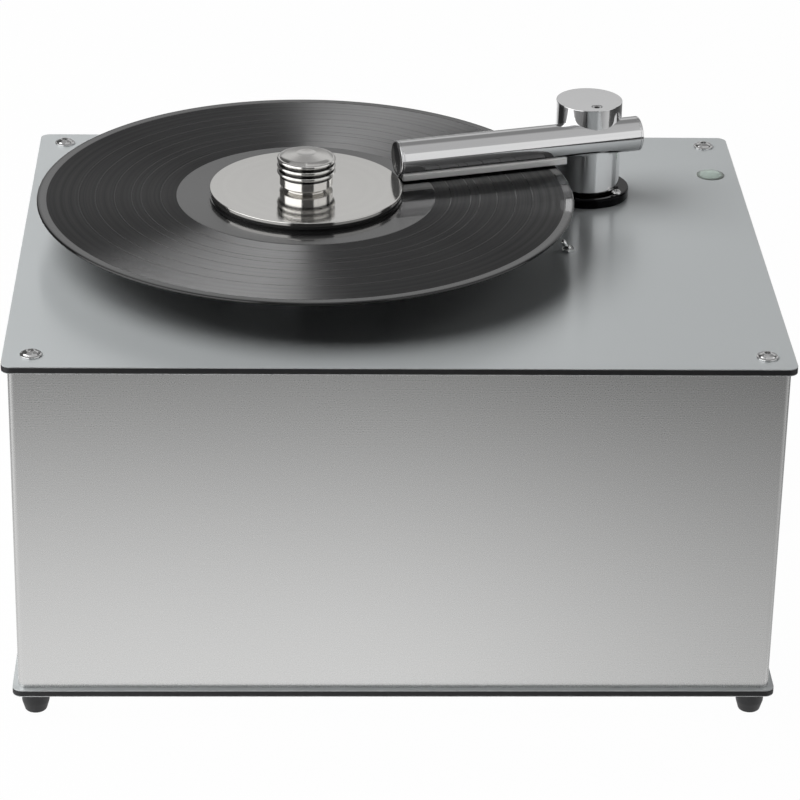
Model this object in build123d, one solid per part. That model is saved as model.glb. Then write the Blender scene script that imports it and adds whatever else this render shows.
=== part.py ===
"""Vacuum record cleaning machine: a closed case, a driven platter with its clamp, and a swinging suction arm.

Millimetres. X points right, Y back and Z up. The origin is on the table, under the middle of the case.
"""
import os
from math import copysign, cos, radians, sin, sqrt

from build123d import *

# ---- Case ---------------------------------------------------------------------------------------
case_width = 416.0          # both plates, left to right
case_depth = 332.0          # both plates, front to back
plate_thickness = 4.0       # aluminium composite sheet
plate_corner = 5.5
wall_height = 190.0         # between the two plates
wall_inset = 3.2            # wall face behind the plate edge
wall_thickness = 3.0
wall_bend = 3.4             # outer radius of the folded corners
panel_thickness = 2.0       # rear panel
panel_gap = 0.3             # rear panel to the side walls
foot_height = 14.0
foot_radius = 8.0
foot_tip_radius = 5.2
foot_inset = 12.0           # from both plate edges
foot_screw_radius = 2.0
foot_screw_grip = 14.0      # in the corner post
head_share = 0.6            # a pan head's height, of its radius
cross_reach = 0.62          # its cross recess, of its radius
cross_width = 0.14
pan_head = 1.9              # a pan head's radius, of the thread's radius
button_head = 0.47          # a flanged button head's height, of its radius
key_width = 1.25            # a key's flats, of the thread's radius
key_depth = 0.8             # a key recess's depth, of the thread's radius
thread_end = 1.0            # a tapped hole is this much deeper than its screw
foot_recess = 5.0           # depth of the screw's recess in a foot
screw_inset = 15.0          # corner posts and plate screws, from both plate edges
plate_screw_radius = 2.5
plate_screw_length = 16.0
plate_screw_flange = 5.85
panel_screw_radius = 1.5
panel_screw_end = 57.0      # from the panel's upper and lower ends
fit = 0.05                  # radial clearance of fixed pieces
past = 1.0                  # how far a cut runs past a face

# ---- Platter and its drive ----------------------------------------------------------------------
record_side_gap = 8.5       # record to the plates' left edge
record_back_gap = 7.0       # record to the plates' back edge
record_radius = 150.8
record_thickness = 1.8
record_level = 26.2         # top of the record above the deck
record_rim_width = 5.4      # lead-in band
record_groove_drop = 0.12   # the grooved band lies a little lower
label_band_radius = 72.8    # where the grooves end
label_rise = 0.3
label_radius = 53.6
record_step = 0.5           # width of the slopes between its bands
spindle_pin_radius = 3.55   # the part that a record's hole goes over
spindle_radius = 6.0
running_gap = 0.04          # radial, shaft in bush
platter_radius = 53.0
platter_thickness = 6.0
mat_thickness = 2.0
mat_inner_radius = 16.0
mat_margin = 1.0            # platter outside the mat
platter_edge = 0.6
spindle_taper = 2.0
hub_radius = 15.0
bush_wall = 4.0
bush_length = 14.0
housing_wall = 7.0
housing_length = 44.0       # below the deck
housing_flange_radius = 42.0
housing_flange = 6.0
housing_neck = 4.0          # stands above the deck
housing_screw_radius = 2.0
housing_screw_circle = 33.0
countersink = 2.0           # head radius, of the thread's radius
standoff_pitch = 56.0       # square on which the gearbox hangs
standoff_radius = 4.0
standoff_length = 65.0
gearbox_side = 70.0
gearbox_height = 22.0
gearbox_floor = 4.0         # under the output shaft
motor_round = 2.0
motor_radius = 27.0
motor_height = 34.0
gearbox_shaft_radius = 4.0
gearbox_shaft_length = 16.0
coupling_radius = 11.0
coupling_height = 20.0
coupling_edge = 0.8
shaft_end_gap = 1.0

# ---- Record clamp -------------------------------------------------------------------------------
clamp_radius = 54.1
clamp_thickness = 2.3
clamp_edge = 0.4
seal_thickness = 2.2
seal_outer_radius = 53.2
seal_inner_radius = 44.0
knob_grip_radius = 16.45
knob_waist_radius = 15.0
knob_foot_radius = 12.6
knob_waist_height = 6.9
knob_ring_pitch = 3.65
knob_ring_count = 3
knob_groove_depth = 1.3
knob_groove_height = 0.9
knob_round = 1.2            # rounding of the grip rings
knob_foot_height = 0.6
knob_play = 0.5             # above the collet
knob_dome = 2.4
knob_dish_radius = 5.5
knob_dish_depth = 0.5
collet_radius = 7.0
collet_flange_radius = 11.0
collet_flange = 1.2
collet_height = 10.0        # above the clamp disc
spindle_end = 9.0           # spindle above the clamp disc

# ---- Suction arm --------------------------------------------------------------------------------
ring_gap = 1.7              # record edge to base ring
ring_radius = 25.1
ring_height = 5.5
ring_edge = 1.2
ring_screw_count = 3
ring_screw_angle = -39.0    # of the first screw
ring_screw_radius = 1.5
ring_screw_head = 2.8
ring_screw_circle = 21.6
ring_screw_end = 3.0        # past the deck's underside
tower_bearing = 22.57       # direction from the spindle to the tower
arm_heading = 16.45         # direction of the tube, from +X
post_radius = 19.1
post_edge = 0.35
post_gap = 1.5              # post above the base ring
post_above_tube = 19.05     # post top above the tube's axis
post_cap = 9.5              # solid top of the post above its bore
tube_above_record = 12.9    # tube axis above the record's top
tube_offset = 12.0          # tube axis in front of the tower's axis
tube_radius = 10.1
tube_wall = 1.5
tube_outer_end = 26.1       # beyond the tower's axis
arm_end_gap = 2.0           # inner end to the clamp
cap_flange = 1.5
cap_plug = 8.0
cap_dish_depth = 1.6
cap_lip = 1.1
cap_edge = 0.3
swivel_radius = 10.8
swivel_wall = 1.5
swivel_collar_radius = 13.2
collar_gap = 0.4            # collar to the post's chamber
swivel_rise = 28.0          # swivel tube above the deck
swivel_drop = 22.0          # swivel tube below the deck's underside
bush_radius = 14.4
bush_drop = 10.0            # swivel bush below the deck's underside
nut_height = 6.0
nut_radius = 13.4
nut_play = 0.2              # under the bush
spring_wire = 1.2
spring_turns = 3.5
spring_chamber = 10.0       # height of the spring's room above the collar
strip_extra = 2.5           # strip past the record's edge
strip_end_gap = 2.1         # strip short of the tube's inner end
strip_half_width = 6.5
strip_gap = 1.0             # metal of the strip above the record
strip_slot = 3.0
strip_line = 0.5            # width and depth of the line along its sides
strip_line_level = 3.1      # line above the strip's underside
pad_thickness = 0.6
pad_margin = 0.5
tube_screw_radius = 3.0
tube_screw_key = 1.5
tube_screw_sink = 0.4       # below the post's top
port_radius = 6.0           # opening from the tube into the post

# ---- Wet side -----------------------------------------------------------------------------------
hose_wall = 2.5
hose_overlap = 12.0
tank_left = 43.0            # tank wall left of the tower's axis
tank_front = 54.0           # tank wall in front of the tower's axis
tank_post_gap = 4.8         # tank to the rear corner post
tank_side_gap = 1.2         # tank to the right wall
tank_height = 96.0
tank_wall = 2.5
tank_corner = 6.0
lid_thickness = 3.0
lid_rim = 5.0               # lid's inner rim down into the tank
lid_fit = 0.1
spigot_length = 14.0
spigot_wall = 2.0
lens_side_gap = 9.6         # lens axis to the right wall
lens_tank_gap = 32.2        # lens axis to the tank's back wall
lens_radius = 8.2
lens_stem_radius = 6.4
lens_flange = 0.7
lens_edge = 0.9
lens_dome = 2.0
lens_stem = 5.0
float_tube_wall = 1.4
float_radius = 5.4
float_height = 24.0
float_rod_radius = 1.5
float_flag_radius = 4.8
float_flag_height = 8.0
float_travel = 60.0
float_round = 2.0
flag_gap = 1.0              # flag to the lens when the tank is full
drain_side_gap = 50.6       # drain axis to the tank's right wall
drain_level = 22.0          # drain axis above the base plate
drain_outer_radius = 10.0
drain_bore_radius = 8.0
drain_head_radius = 12.5
drain_head = 3.4
drain_stem = 14.0
drain_slot = 2.0
drain_edge = 0.8

# ---- Air side -----------------------------------------------------------------------------------
blower_gap = 9.8            # fan housing to the left wall and to the rear panel
seat_height = 4.0
seat_margin = 3.0           # seat outside the motor
seat_width = 15.0
blower_motor_radius = 45.0
blower_motor_height = 54.0
blower_motor_wall = 3.0
fan_housing_radius = 60.0
fan_housing_height = 36.0
fan_housing_wall = 2.5
fan_radius = 52.0
fan_disc = 2.0
fan_height = 20.0
fan_blades = 9
fan_shaft_radius = 4.0
armature_radius = 24.0
armature_height = 36.0
armature_gap = 1.0
shaft_floor = 0.2           # under the blower's shaft
shaft_rise = 3.0            # shaft above the fan
fan_lift = 4.0              # fan above the housing's floor
fan_hub_radius = 8.8
blade_thickness = 1.6
blade_length = 31.0
blade_place = 32.0          # blade's middle from the axis
blade_sweep = 28.0
outlet_width = 14.0
outlet_margin = 8.0         # outlet slots to the housing's floor and roof
intake_radius = 13.4
outlet_slots = 8
bracket_thickness = 3.0
bracket_band = 14.0
bracket_legs = 3
bracket_leg_width = 16.0
bracket_foot = 10.0
bracket_turn = 30.0
vacuum_spigot_gap = 20.0    # its axis to the tank's left and back walls
vacuum_hose_drop = 30.0     # level run of the hose below the deck
vacuum_hose_bend = 26.0
slot_count = 9              # exhaust slots in the rear panel
slot_width = 56.0
slot_height = 3.2
slot_pitch = 8.0
slot_level = 50.0           # lowest slot above the base plate

# ---- Electrics ----------------------------------------------------------------------------------
inlet_x = 22.0
rocker_x = -22.0
inlet_level = 40.0          # inlet and rocker centres above the base plate
inlet_width = 28.0
inlet_height = 20.4
inlet_flange = 1.8
inlet_border = 2.2
inlet_depth = 26.0
socket_width = 24.4
socket_height = 16.6
socket_depth = 17.0
pin_length = 10.0
pin_pitch = 7.0
pin_drop = 2.0              # outer pins below the middle
pin_rise = 3.0              # middle pin above it
pin_width = 2.0
rocker_width = 13.0
rocker_height = 19.2
rocker_depth = 17.0
rocker_wall = 1.4
rocker_border = 1.5
rocker_tilt = 8.0
rocker_gap = 0.5            # rocker to its frame
rocker_front = 2.0          # rocker's edges in front of its pivot
rocker_edge = 2.2           # thickness of its edges
rocker_hollow = 1.5         # its middle lies this much lower
rocker_key_depth = 8.0
rocker_sink = 1.0           # pivot behind the rear panel's face
toggle_left = 16.5          # toggle left of the tower's axis
toggle_front = 86.4         # toggle in front of the tower's axis
bushing_radius = 2.9
bushing_bore = 2.3
bushing_rise = 2.4
toggle_nut_flats = 7.0
toggle_nut_height = 1.8
toggle_body_height = 10.0
toggle_body_width = 8.0
toggle_body_length = 13.0
toggle_tag_pitch = 4.5      # solder tags under the switch
toggle_tag_length = 4.0
toggle_tag_width = 3.0
toggle_tag_thickness = 1.0
lever_pivot = 1.3           # lever's pivot above the deck
lever_length = 6.4
lever_root_radius = 0.95
lever_tip_radius = 1.5
lever_tilt = 36.0           # to the left at rest
lever_ball_radius = 2.2
board_width = 110.0
board_depth = 80.0
board_thickness = 1.6
board_gap = 34.8            # board to the left and front walls
board_standoff = 8.0
board_post_radius = 3.0
board_post_inset = 5.0
transformer_width = 38.0
transformer_depth = 36.0
transformer_height = 32.0
capacitor_radius = 9.0
capacitor_length = 42.0
relay_width = 20.0
relay_depth = 16.0
regulator_width = 16.0
regulator_depth = 12.0
part_gap = 8.0              # between the parts on the board
terminal_width = 14.0
terminal_depth = 10.0
terminal_height = 9.0
terminal_pitch = 24.0
terminal_count = 4
terminal_edge = 2.0
wire_radius = 2.4
wire_bend = 10.0
wire_lead = 16.0            # straight run out of a terminal

# ---- Levels and places worked out from the sizes -------------------------------------------------
BOTTOM = (Align.CENTER, Align.CENTER, Align.MIN)
base_under = foot_height
base_top = base_under + plate_thickness
deck_under = base_top + wall_height
deck = deck_under + plate_thickness
half_width = case_width / 2
half_depth = case_depth / 2
wall_inner_x = half_width - wall_inset - wall_thickness
wall_inner_y = half_depth - wall_inset - wall_thickness
post_x = half_width - screw_inset
post_y = half_depth - screw_inset
corner_post_side = 2 * (screw_inset - wall_inset - wall_thickness)
panel_inside = post_y + corner_post_side / 2
panel_outside = panel_inside + panel_thickness

spindle_x = -half_width + record_side_gap + record_radius
spindle_y = half_depth - record_back_gap - record_radius
record_top = deck + record_level
record_under = record_top - record_thickness
platter_top = record_under - mat_thickness
platter_under = platter_top - platter_thickness
label_top = record_top + label_rise
clamp_under = label_top + seal_thickness
clamp_top = clamp_under + clamp_thickness
hub_under = deck + housing_neck
housing_end = deck_under - housing_length
bush_outer = spindle_radius + bush_wall
housing_outer = bush_outer + housing_wall
gearbox_top = deck_under - housing_flange - standoff_length
gearbox_under = gearbox_top - gearbox_height
gearbox_shaft_top = gearbox_top + gearbox_shaft_length
spindle_foot = gearbox_shaft_top + shaft_end_gap
coupling_under = gearbox_shaft_top - coupling_height / 2
coupling_top = coupling_under + coupling_height
standoffs = [(spindle_x + sx * standoff_pitch / 2, spindle_y + sy * standoff_pitch / 2)
             for sx in (-1, 1) for sy in (-1, 1)]
housing_screws_at = [(spindle_x + housing_screw_circle * cos(radians(a)),
                      spindle_y + housing_screw_circle * sin(radians(a))) for a in (0, 90, 180, 270)]

tower_reach = record_radius + ring_gap + ring_radius
tower_x = spindle_x + tower_reach * cos(radians(tower_bearing))
tower_y = spindle_y + tower_reach * sin(radians(tower_bearing))
ring_top = deck + ring_height
post_under = ring_top + post_gap
tube_level = record_top + tube_above_record
post_top = tube_level + post_above_tube
post_bore_top = post_top - post_cap
swivel_top = deck + swivel_rise
swivel_foot = deck_under - swivel_drop
swivel_inner = swivel_radius - swivel_wall
chamber_radius = swivel_collar_radius + collar_gap
chamber_top = post_under + spring_chamber
tube_inner = tube_radius - tube_wall
tube_inner_end = sqrt((tower_reach - clamp_radius - arm_end_gap) ** 2 - tube_offset ** 2)
strip_inner_end = tube_inner_end - strip_end_gap
strip_length = record_radius - clamp_radius + strip_extra
strip_outer_end = strip_inner_end - strip_length
strip_under = record_top + strip_gap
strip_shoulder = tube_level - sqrt(tube_radius ** 2 - strip_half_width ** 2)

tank_x0 = tower_x - tank_left
tank_x1 = wall_inner_x - tank_side_gap
tank_y0 = tower_y - tank_front
tank_y1 = post_y - corner_post_side / 2 - tank_post_gap
tank_top = base_top + tank_height
lid_top = tank_top + lid_thickness
spigot_top = lid_top + spigot_length
bush_foot = deck_under - bush_drop
vacuum_hose_level = deck_under - vacuum_hose_drop
lens_x = wall_inner_x - lens_side_gap
lens_y = tank_y1 - lens_tank_gap
vacuum_spigot_x = tank_x0 + vacuum_spigot_gap
vacuum_spigot_y = tank_y1 - vacuum_spigot_gap
drain_x = tank_x1 - drain_side_gap
float_tube_inner = lens_stem_radius + fit
float_tube_outer = float_tube_inner + float_tube_wall
drain_z = base_top + drain_level

blower_x = -wall_inner_x + blower_gap + fan_housing_radius
blower_y = panel_inside - blower_gap - fan_housing_radius
seat_top = base_top + seat_height
blower_motor_top = seat_top + blower_motor_height
fan_floor = blower_motor_top + fan_housing_wall
fan_housing_top = blower_motor_top + fan_housing_height
intake_top = fan_housing_top + spigot_length
hose_inner = intake_radius + fit
hose_outer = hose_inner + hose_wall
connector_z = base_top + inlet_level
rocker_pivot = panel_outside - rocker_sink
toggle_x = tower_x - toggle_left
toggle_y = tower_y - toggle_front
board_x0 = -wall_inner_x + board_gap
board_y0 = -wall_inner_y + board_gap
board_y1 = board_y0 + board_depth
board_under = base_top + board_standoff
board_top = board_under + board_thickness


# ---- Shapes that repeat --------------------------------------------------------------------------
def disc(radius, low, high, x=0.0, y=0.0):
    """A round upright solid from one level to another."""
    return Pos(x, y, low) * Cylinder(radius, high - low, align=BOTTOM)


def ring(outer, inner, low, high, x=0.0, y=0.0):
    """A round tube standing upright."""
    return disc(outer, low, high, x, y) - disc(inner, low - past, high + past, x, y)


def block(x0, x1, y0, y1, z0, z1):
    """A box between two corners."""
    return Pos((x0 + x1) / 2, (y0 + y1) / 2, (z0 + z1) / 2) * Box(x1 - x0, y1 - y0, z1 - z0)


def slab(width, depth, corner, low, high, x=0.0, y=0.0):
    """A rounded rectangular plate."""
    return Pos(x, y, low) * extrude(RectangleRounded(width, depth, corner), high - low)


def turned(*outline, x=0.0, y=0.0):
    """A solid turned about an upright axis. The outline is (radius, level) points, and a point in a
    nested pair (middle, end) is reached by an arc through its middle."""
    edges = []
    here = outline[0]
    for step in outline[1:] + (outline[0],):
        if isinstance(step[0], tuple):
            edges.append(ThreePointArc(flat(here), flat(step[0]), flat(step[1])))
            here = step[1]
        elif step != here:
            edges.append(Line(flat(here), flat(step)))
            here = step
    return Pos(x, y, 0) * revolve(make_face(Wire(edges)), Axis.Z)


def flat(point):
    """A (radius, level) point on the XZ plane."""
    return (point[0], 0, point[1])


def dome(radius, level, rise):
    """The (middle, end) pair of a spherical arc from (radius, level) to the axis, rising or falling."""
    sphere = (radius ** 2 + rise ** 2) / (2 * rise)
    middle = sphere - copysign(sqrt(sphere ** 2 - (radius / 2) ** 2), rise)
    return ((radius / 2, level + rise - middle), (0, level + rise))


def rounded(x, z, radius, way):
    """The (middle, end) pair of a quarter arc about (x, z), up to its right side or from there to its top."""
    diagonal = radius * sqrt(0.5)
    end = (x + radius, z) if way < 0 else (x, z + radius)
    return ((x + diagonal, z + way * diagonal), end)


def rod_y(radius, y0, y1, x, z):
    """A round rod along Y."""
    return Pos(x, y0, z) * Rot(-90, 0, 0) * Cylinder(radius, y1 - y0, align=BOTTOM)


def rod_x(radius, x0, x1, y, z):
    """A round rod along X."""
    return Pos(x0, y, z) * Rot(0, 90, 0) * Cylinder(radius, x1 - x0, align=BOTTOM)


def corners(x, y):
    """Four mirrored places."""
    return [(sx * x, sy * y) for sx in (-1, 1) for sy in (-1, 1)]


def hexagon(flats, low, high, x=0.0, y=0.0):
    """An upright hexagonal prism, sized across its flats."""
    return Pos(x, y, low) * extrude(RegularPolygon(flats / 2, 6, major_radius=False), high - low)


def pan_screw(radius, length, head_radius):
    """A cross-recessed pan head screw with its head above level 0."""
    height = head_radius * head_share
    head = turned((0, 0), (head_radius, 0), (head_radius, height * 0.4),
                  ((head_radius * 0.8, height * 0.85), (head_radius * 0.35, height)), (0, height))
    arm = head_radius * cross_reach
    slot = head_radius * cross_width
    for angle in (0, 90):
        head -= Rot(0, 0, angle) * block(-arm, arm, -slot, slot, height * 0.35, height + past)
    return head + disc(radius, -length, 0)


def bent_tube(points, bend, outer, inner=0.0):
    """A tube or wire along straight runs joined by arcs."""
    path = FilletPolyline(*points, radius=bend)
    start = Plane(origin=path @ 0, z_dir=path % 0)
    section = start * Circle(outer)
    if inner:
        section -= start * Circle(inner)
    return sweep(section, path=path)


def on_arm(solid):
    """Places a solid drawn with the tower's axis at the origin and the tube along X."""
    return Pos(tower_x, tower_y, 0) * Rot(0, 0, arm_heading) * solid


# ---- Case ----------------------------------------------------------------------------------------
def make_top_plate():
    plate = slab(case_width, case_depth, plate_corner, deck_under, deck)
    for x, y in corners(post_x, post_y):
        plate -= disc(plate_screw_radius + fit, deck_under - past, deck + past, x, y)
    plate -= disc(housing_outer + fit, deck_under - past, deck + past, spindle_x, spindle_y)
    for x, y in housing_screws_at:
        plate -= screw_cone(housing_screw_radius, fit, x, y)
    plate -= disc(bush_radius + fit, deck_under - past, deck + past, tower_x, tower_y)
    for x, y in ring_screws_at():
        plate -= disc(ring_screw_radius + fit, deck_under - past, deck + past, x, y)
    plate -= disc(lens_stem_radius + fit, deck_under - past, deck + past, lens_x, lens_y)
    plate -= disc(bushing_radius + fit, deck_under - past, deck + past, toggle_x, toggle_y)
    return plate


def screw_cone(radius, grow, x, y):
    """A countersunk screw's outline in the deck, with its head flush."""
    head = countersink * radius
    return turned((0, deck), (head + grow, deck), (radius + grow, deck - radius),
                  (radius + grow, deck_under - housing_flange), (0, deck_under - housing_flange), x=x, y=y)


def make_base_plate():
    plate = slab(case_width, case_depth, plate_corner, base_under, base_top)
    for x, y in corners(half_width - foot_inset, half_depth - foot_inset):
        plate -= disc(foot_screw_radius + fit, base_under - past, base_top + past, x, y)
    return plate


def make_case_wall():
    """One sheet folded round the left, front and right sides."""
    width = case_width - 2 * wall_inset
    depth = case_depth - 2 * wall_inset
    outer = slab(width, depth, wall_bend, base_top, deck_under)
    inner = slab(width - 2 * wall_thickness, depth - 2 * wall_thickness, wall_bend - wall_thickness,
                 base_top - past, deck_under + past)
    open_back = block(-wall_inner_x, wall_inner_x, wall_inner_y - past, half_depth, base_top - past,
                      deck_under + past)
    square = half_depth - wall_inset
    ends = block(-half_width + wall_inset, half_width - wall_inset, square - wall_bend, square,
                 base_top, deck_under)
    return outer + ends - inner - open_back


def make_rear_panel():
    half = wall_inner_x - panel_gap
    panel = block(-half, half, panel_inside, panel_outside, base_top, deck_under)
    for k in range(slot_count):
        z = base_top + slot_level + k * slot_pitch
        panel -= block(blower_x - slot_width / 2, blower_x + slot_width / 2, panel_inside - past,
                       panel_outside + past, z, z + slot_height)
    hole_x = inlet_width / 2 + fit
    hole_z = inlet_height / 2 + fit
    panel -= block(inlet_x - hole_x, inlet_x + hole_x, panel_inside - past, panel_outside + past,
                   connector_z - hole_z, connector_z + hole_z)
    frame_x = rocker_width / 2 + rocker_wall + fit
    frame_z = rocker_height / 2 + rocker_wall + fit
    panel -= block(rocker_x - frame_x, rocker_x + frame_x, panel_inside - past, panel_outside + past,
                   connector_z - frame_z, connector_z + frame_z)
    panel -= rod_y(drain_outer_radius + fit, panel_inside - past, panel_outside + past, drain_x, drain_z)
    for x, z in panel_screws_at():
        panel -= rod_y(panel_screw_radius + fit, panel_inside - past, panel_outside + past, x, z)
    return panel


def panel_screws_at():
    """Two screws into each rear corner post."""
    levels = (base_top + panel_screw_end, deck_under - panel_screw_end)
    return [(sx * post_x, z) for sx in (-1, 1) for z in levels]


def make_corner_posts():
    """Four square bars, tapped on top for the plate screws and below for the foot screws."""
    half = corner_post_side / 2
    bars = []
    for x, y in corners(post_x, post_y):
        bar = slab(2 * half, 2 * half, wall_bend - wall_thickness + fit, base_top, deck_under, x, y)
        depth = plate_screw_length - plate_thickness + thread_end
        bar -= disc(plate_screw_radius + fit, deck_under - depth, deck_under, x, y)
        foot_x = copysign(half_width - foot_inset, x)
        foot_y = copysign(half_depth - foot_inset, y)
        hole_top = base_top + foot_screw_grip + thread_end
        bar -= disc(foot_screw_radius + fit, base_top, hole_top, foot_x, foot_y)
        if y > 0:
            for px, pz in panel_screws_at():
                if px * x > 0:
                    bar -= rod_y(panel_screw_radius + fit, y, panel_inside, px, pz)
        bars.append(bar)
    return bars


def make_plate_screws():
    """Button screws with a round flange."""
    flange = plate_screw_flange
    height = flange * button_head
    head = turned((0, 0), (flange, 0), (flange, 0.16 * flange), (flange * 0.8, 0.2 * flange),
                  ((flange * 0.62, height * 0.8), (flange * 0.3, height)), (0, height))
    head -= hexagon(plate_screw_radius * key_width, height - plate_screw_radius * key_depth, height + past)
    screw = head + disc(plate_screw_radius, -plate_screw_length, 0)
    return [Pos(x, y, deck) * screw for x, y in corners(post_x, post_y)]


def make_panel_screws():
    screw = pan_screw(panel_screw_radius, corner_post_side / 2, panel_screw_radius * pan_head)
    return [Pos(x, panel_outside, z) * Rot(-90, 0, 0) * screw for x, z in panel_screws_at()]


def make_feet():
    """Domed rubber feet with a recess for the screw."""
    shoulder = foot_radius - foot_tip_radius
    feet = []
    for x, y in corners(half_width - foot_inset, half_depth - foot_inset):
        foot = turned((0, 0), (foot_tip_radius, 0),
                      ((foot_radius - shoulder * 0.3, foot_height * 0.35), (foot_radius, foot_height)),
                      (0, foot_height), x=x, y=y)
        foot -= disc(foot_screw_radius * pan_head, -past, foot_recess, x, y)
        foot -= disc(foot_screw_radius + fit, 0, foot_height + past, x, y)
        feet.append(foot)
    return feet


def make_foot_screws():
    head = foot_screw_radius * pan_head - fit
    length = foot_height - foot_recess + plate_thickness + foot_screw_grip
    screw = Rot(180, 0, 0) * pan_screw(foot_screw_radius, length, head)
    places = corners(half_width - foot_inset, half_depth - foot_inset)
    return [Pos(x, y, foot_recess) * screw for x, y in places]


# ---- Platter and its drive -------------------------------------------------------------------------
def make_bearing_housing():
    x, y = spindle_x, spindle_y
    housing = disc(housing_flange_radius, deck_under - housing_flange, deck_under, x, y)
    housing += disc(housing_outer, housing_end, hub_under, x, y)
    housing -= disc(bush_outer + fit, housing_end - past, hub_under + past, x, y)
    for sx, sy in housing_screws_at:
        housing -= disc(housing_screw_radius + fit, deck_under - housing_flange - past, deck_under + past,
                        sx, sy)
    return housing


def make_platter_bushes():
    inner = spindle_radius + running_gap
    x, y = spindle_x, spindle_y
    return [ring(bush_outer, inner, housing_end, housing_end + bush_length, x, y),
            ring(bush_outer, inner, hub_under - bush_length, hub_under, x, y)]


def make_housing_screws():
    screws = []
    for x, y in housing_screws_at:
        screw = screw_cone(housing_screw_radius, 0, x, y)
        recess = deck - housing_screw_radius * key_depth
        screws.append(screw - hexagon(housing_screw_radius * key_width, recess, deck + past, x, y))
    return screws


def make_motor_standoffs():
    return [disc(standoff_radius, gearbox_top, deck_under - housing_flange, x, y) for x, y in standoffs]


def make_gearbox():
    box = slab(gearbox_side, gearbox_side, standoff_radius, gearbox_under, gearbox_top, spindle_x, spindle_y)
    return box - disc(gearbox_shaft_radius + running_gap, gearbox_under + gearbox_floor, gearbox_top + past,
                      spindle_x, spindle_y)


def make_drive_motor():
    body = disc(motor_radius, gearbox_under - motor_height, gearbox_under, spindle_x, spindle_y)
    return fillet(body.edges().group_by(Axis.Z)[0], motor_round)


def make_gearbox_shaft():
    low = gearbox_under + gearbox_floor + fit
    return disc(gearbox_shaft_radius, low, gearbox_shaft_top, spindle_x, spindle_y)


def make_shaft_coupling():
    body = disc(coupling_radius, coupling_under, coupling_top, spindle_x, spindle_y)
    body = chamfer(body.edges(), coupling_edge)
    step = spindle_foot - shaft_end_gap / 2
    body -= disc(gearbox_shaft_radius + fit, coupling_under - past, step, spindle_x, spindle_y)
    return body - disc(spindle_radius + fit, step, coupling_top + past, spindle_x, spindle_y)


def make_platter_spindle():
    tip = clamp_top + spindle_end
    return turned((0, spindle_foot), (spindle_radius, spindle_foot), (spindle_radius, platter_top),
                  (spindle_pin_radius, platter_top), (spindle_pin_radius, tip - spindle_taper),
                  (spindle_pin_radius / 2, tip), (0, tip), x=spindle_x, y=spindle_y)


def make_platter():
    body = disc(platter_radius, platter_under, platter_top, spindle_x, spindle_y)
    body = chamfer(body.edges(), platter_edge)
    body += disc(hub_radius, hub_under, platter_under, spindle_x, spindle_y)
    return body - disc(spindle_radius + fit, hub_under - past, platter_top + past, spindle_x, spindle_y)


def make_platter_mat():
    outer = platter_radius - mat_margin
    return ring(outer, mat_inner_radius, platter_top, record_under, spindle_x, spindle_y)


def make_record():
    """A pressed disc: rim bead, grooved band, run-out band and thicker label area."""
    edge = record_thickness / 2
    groove = record_top - record_groove_drop
    inner = record_radius - record_rim_width
    middle = record_under + edge
    return turned((spindle_pin_radius + fit, record_under), (record_radius - edge, record_under),
                  ((record_radius, middle), (record_radius - edge, record_top)),
                  (inner + record_step, record_top), (inner, groove),
                  (label_band_radius, groove), (label_band_radius - record_step, record_top),
                  (label_radius + record_step, record_top), (label_radius, label_top),
                  (spindle_pin_radius + fit, label_top), x=spindle_x, y=spindle_y)


# ---- Record clamp ----------------------------------------------------------------------------------
def make_clamp_disc():
    body = disc(clamp_radius, clamp_under, clamp_top, spindle_x, spindle_y)
    body = chamfer(body.edges(), clamp_edge)
    return body - disc(collet_radius + fit, clamp_under - past, clamp_top + past, spindle_x, spindle_y)


def make_clamp_seal():
    return ring(seal_outer_radius, seal_inner_radius, label_top, clamp_under, spindle_x, spindle_y)


def make_clamp_collet():
    x, y = spindle_x, spindle_y
    body = disc(collet_flange_radius, clamp_under - collet_flange, clamp_under, x, y)
    body += disc(collet_radius, clamp_under, clamp_top + collet_height, x, y)
    return body - disc(spindle_pin_radius + fit, label_top, clamp_top + collet_height + past, x, y)


def make_clamp_knob():
    """A turned knob: chamfered foot, plain waist, rounded grip rings and a domed top with a small dish."""
    bore = collet_radius + running_gap
    grip, waist, foot = knob_grip_radius, knob_waist_radius, knob_foot_radius
    groove = grip - knob_groove_depth
    outline = [(bore, 0), (foot, 0), (foot, knob_foot_height), (waist, knob_foot_height + waist - foot)]
    outline.append((waist, knob_waist_height))
    level = knob_waist_height
    for _ in range(knob_ring_count):
        low = level + knob_groove_height
        level = level + knob_ring_pitch
        outline += [(groove, low - knob_groove_height), (groove, low), (grip - knob_round, low)]
        outline.append(rounded(grip - knob_round, low + knob_round, knob_round, -1))
        outline.append((grip, level - knob_round))
        outline.append(rounded(grip - knob_round, level - knob_round, knob_round, 1))
    top = level + knob_dome
    outline.append((groove, level))
    outline.append(((grip * 0.74, level + knob_dome * 0.62), (knob_dish_radius, top)))
    outline.append(dome(knob_dish_radius, top, -knob_dish_depth))
    outline += [(0, collet_height + knob_play), (bore, collet_height + knob_play)]
    return Pos(0, 0, clamp_top) * turned(*outline, x=spindle_x, y=spindle_y)


# ---- Suction arm -----------------------------------------------------------------------------------
def ring_screws_at():
    step = 360 / ring_screw_count
    angles = [radians(ring_screw_angle + k * step) for k in range(ring_screw_count)]
    return [(tower_x + ring_screw_circle * cos(a), tower_y + ring_screw_circle * sin(a)) for a in angles]


def make_arm_base_ring():
    r, e = ring_radius, ring_edge
    body = turned((bush_radius + fit, deck), (r, deck), (r, ring_top - e), rounded(r - e, ring_top - e, e, 1),
                  (bush_radius + fit, ring_top), x=tower_x, y=tower_y)
    for x, y in ring_screws_at():
        body -= disc(ring_screw_radius + fit, deck - past, ring_top + past, x, y)
    return body


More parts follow.
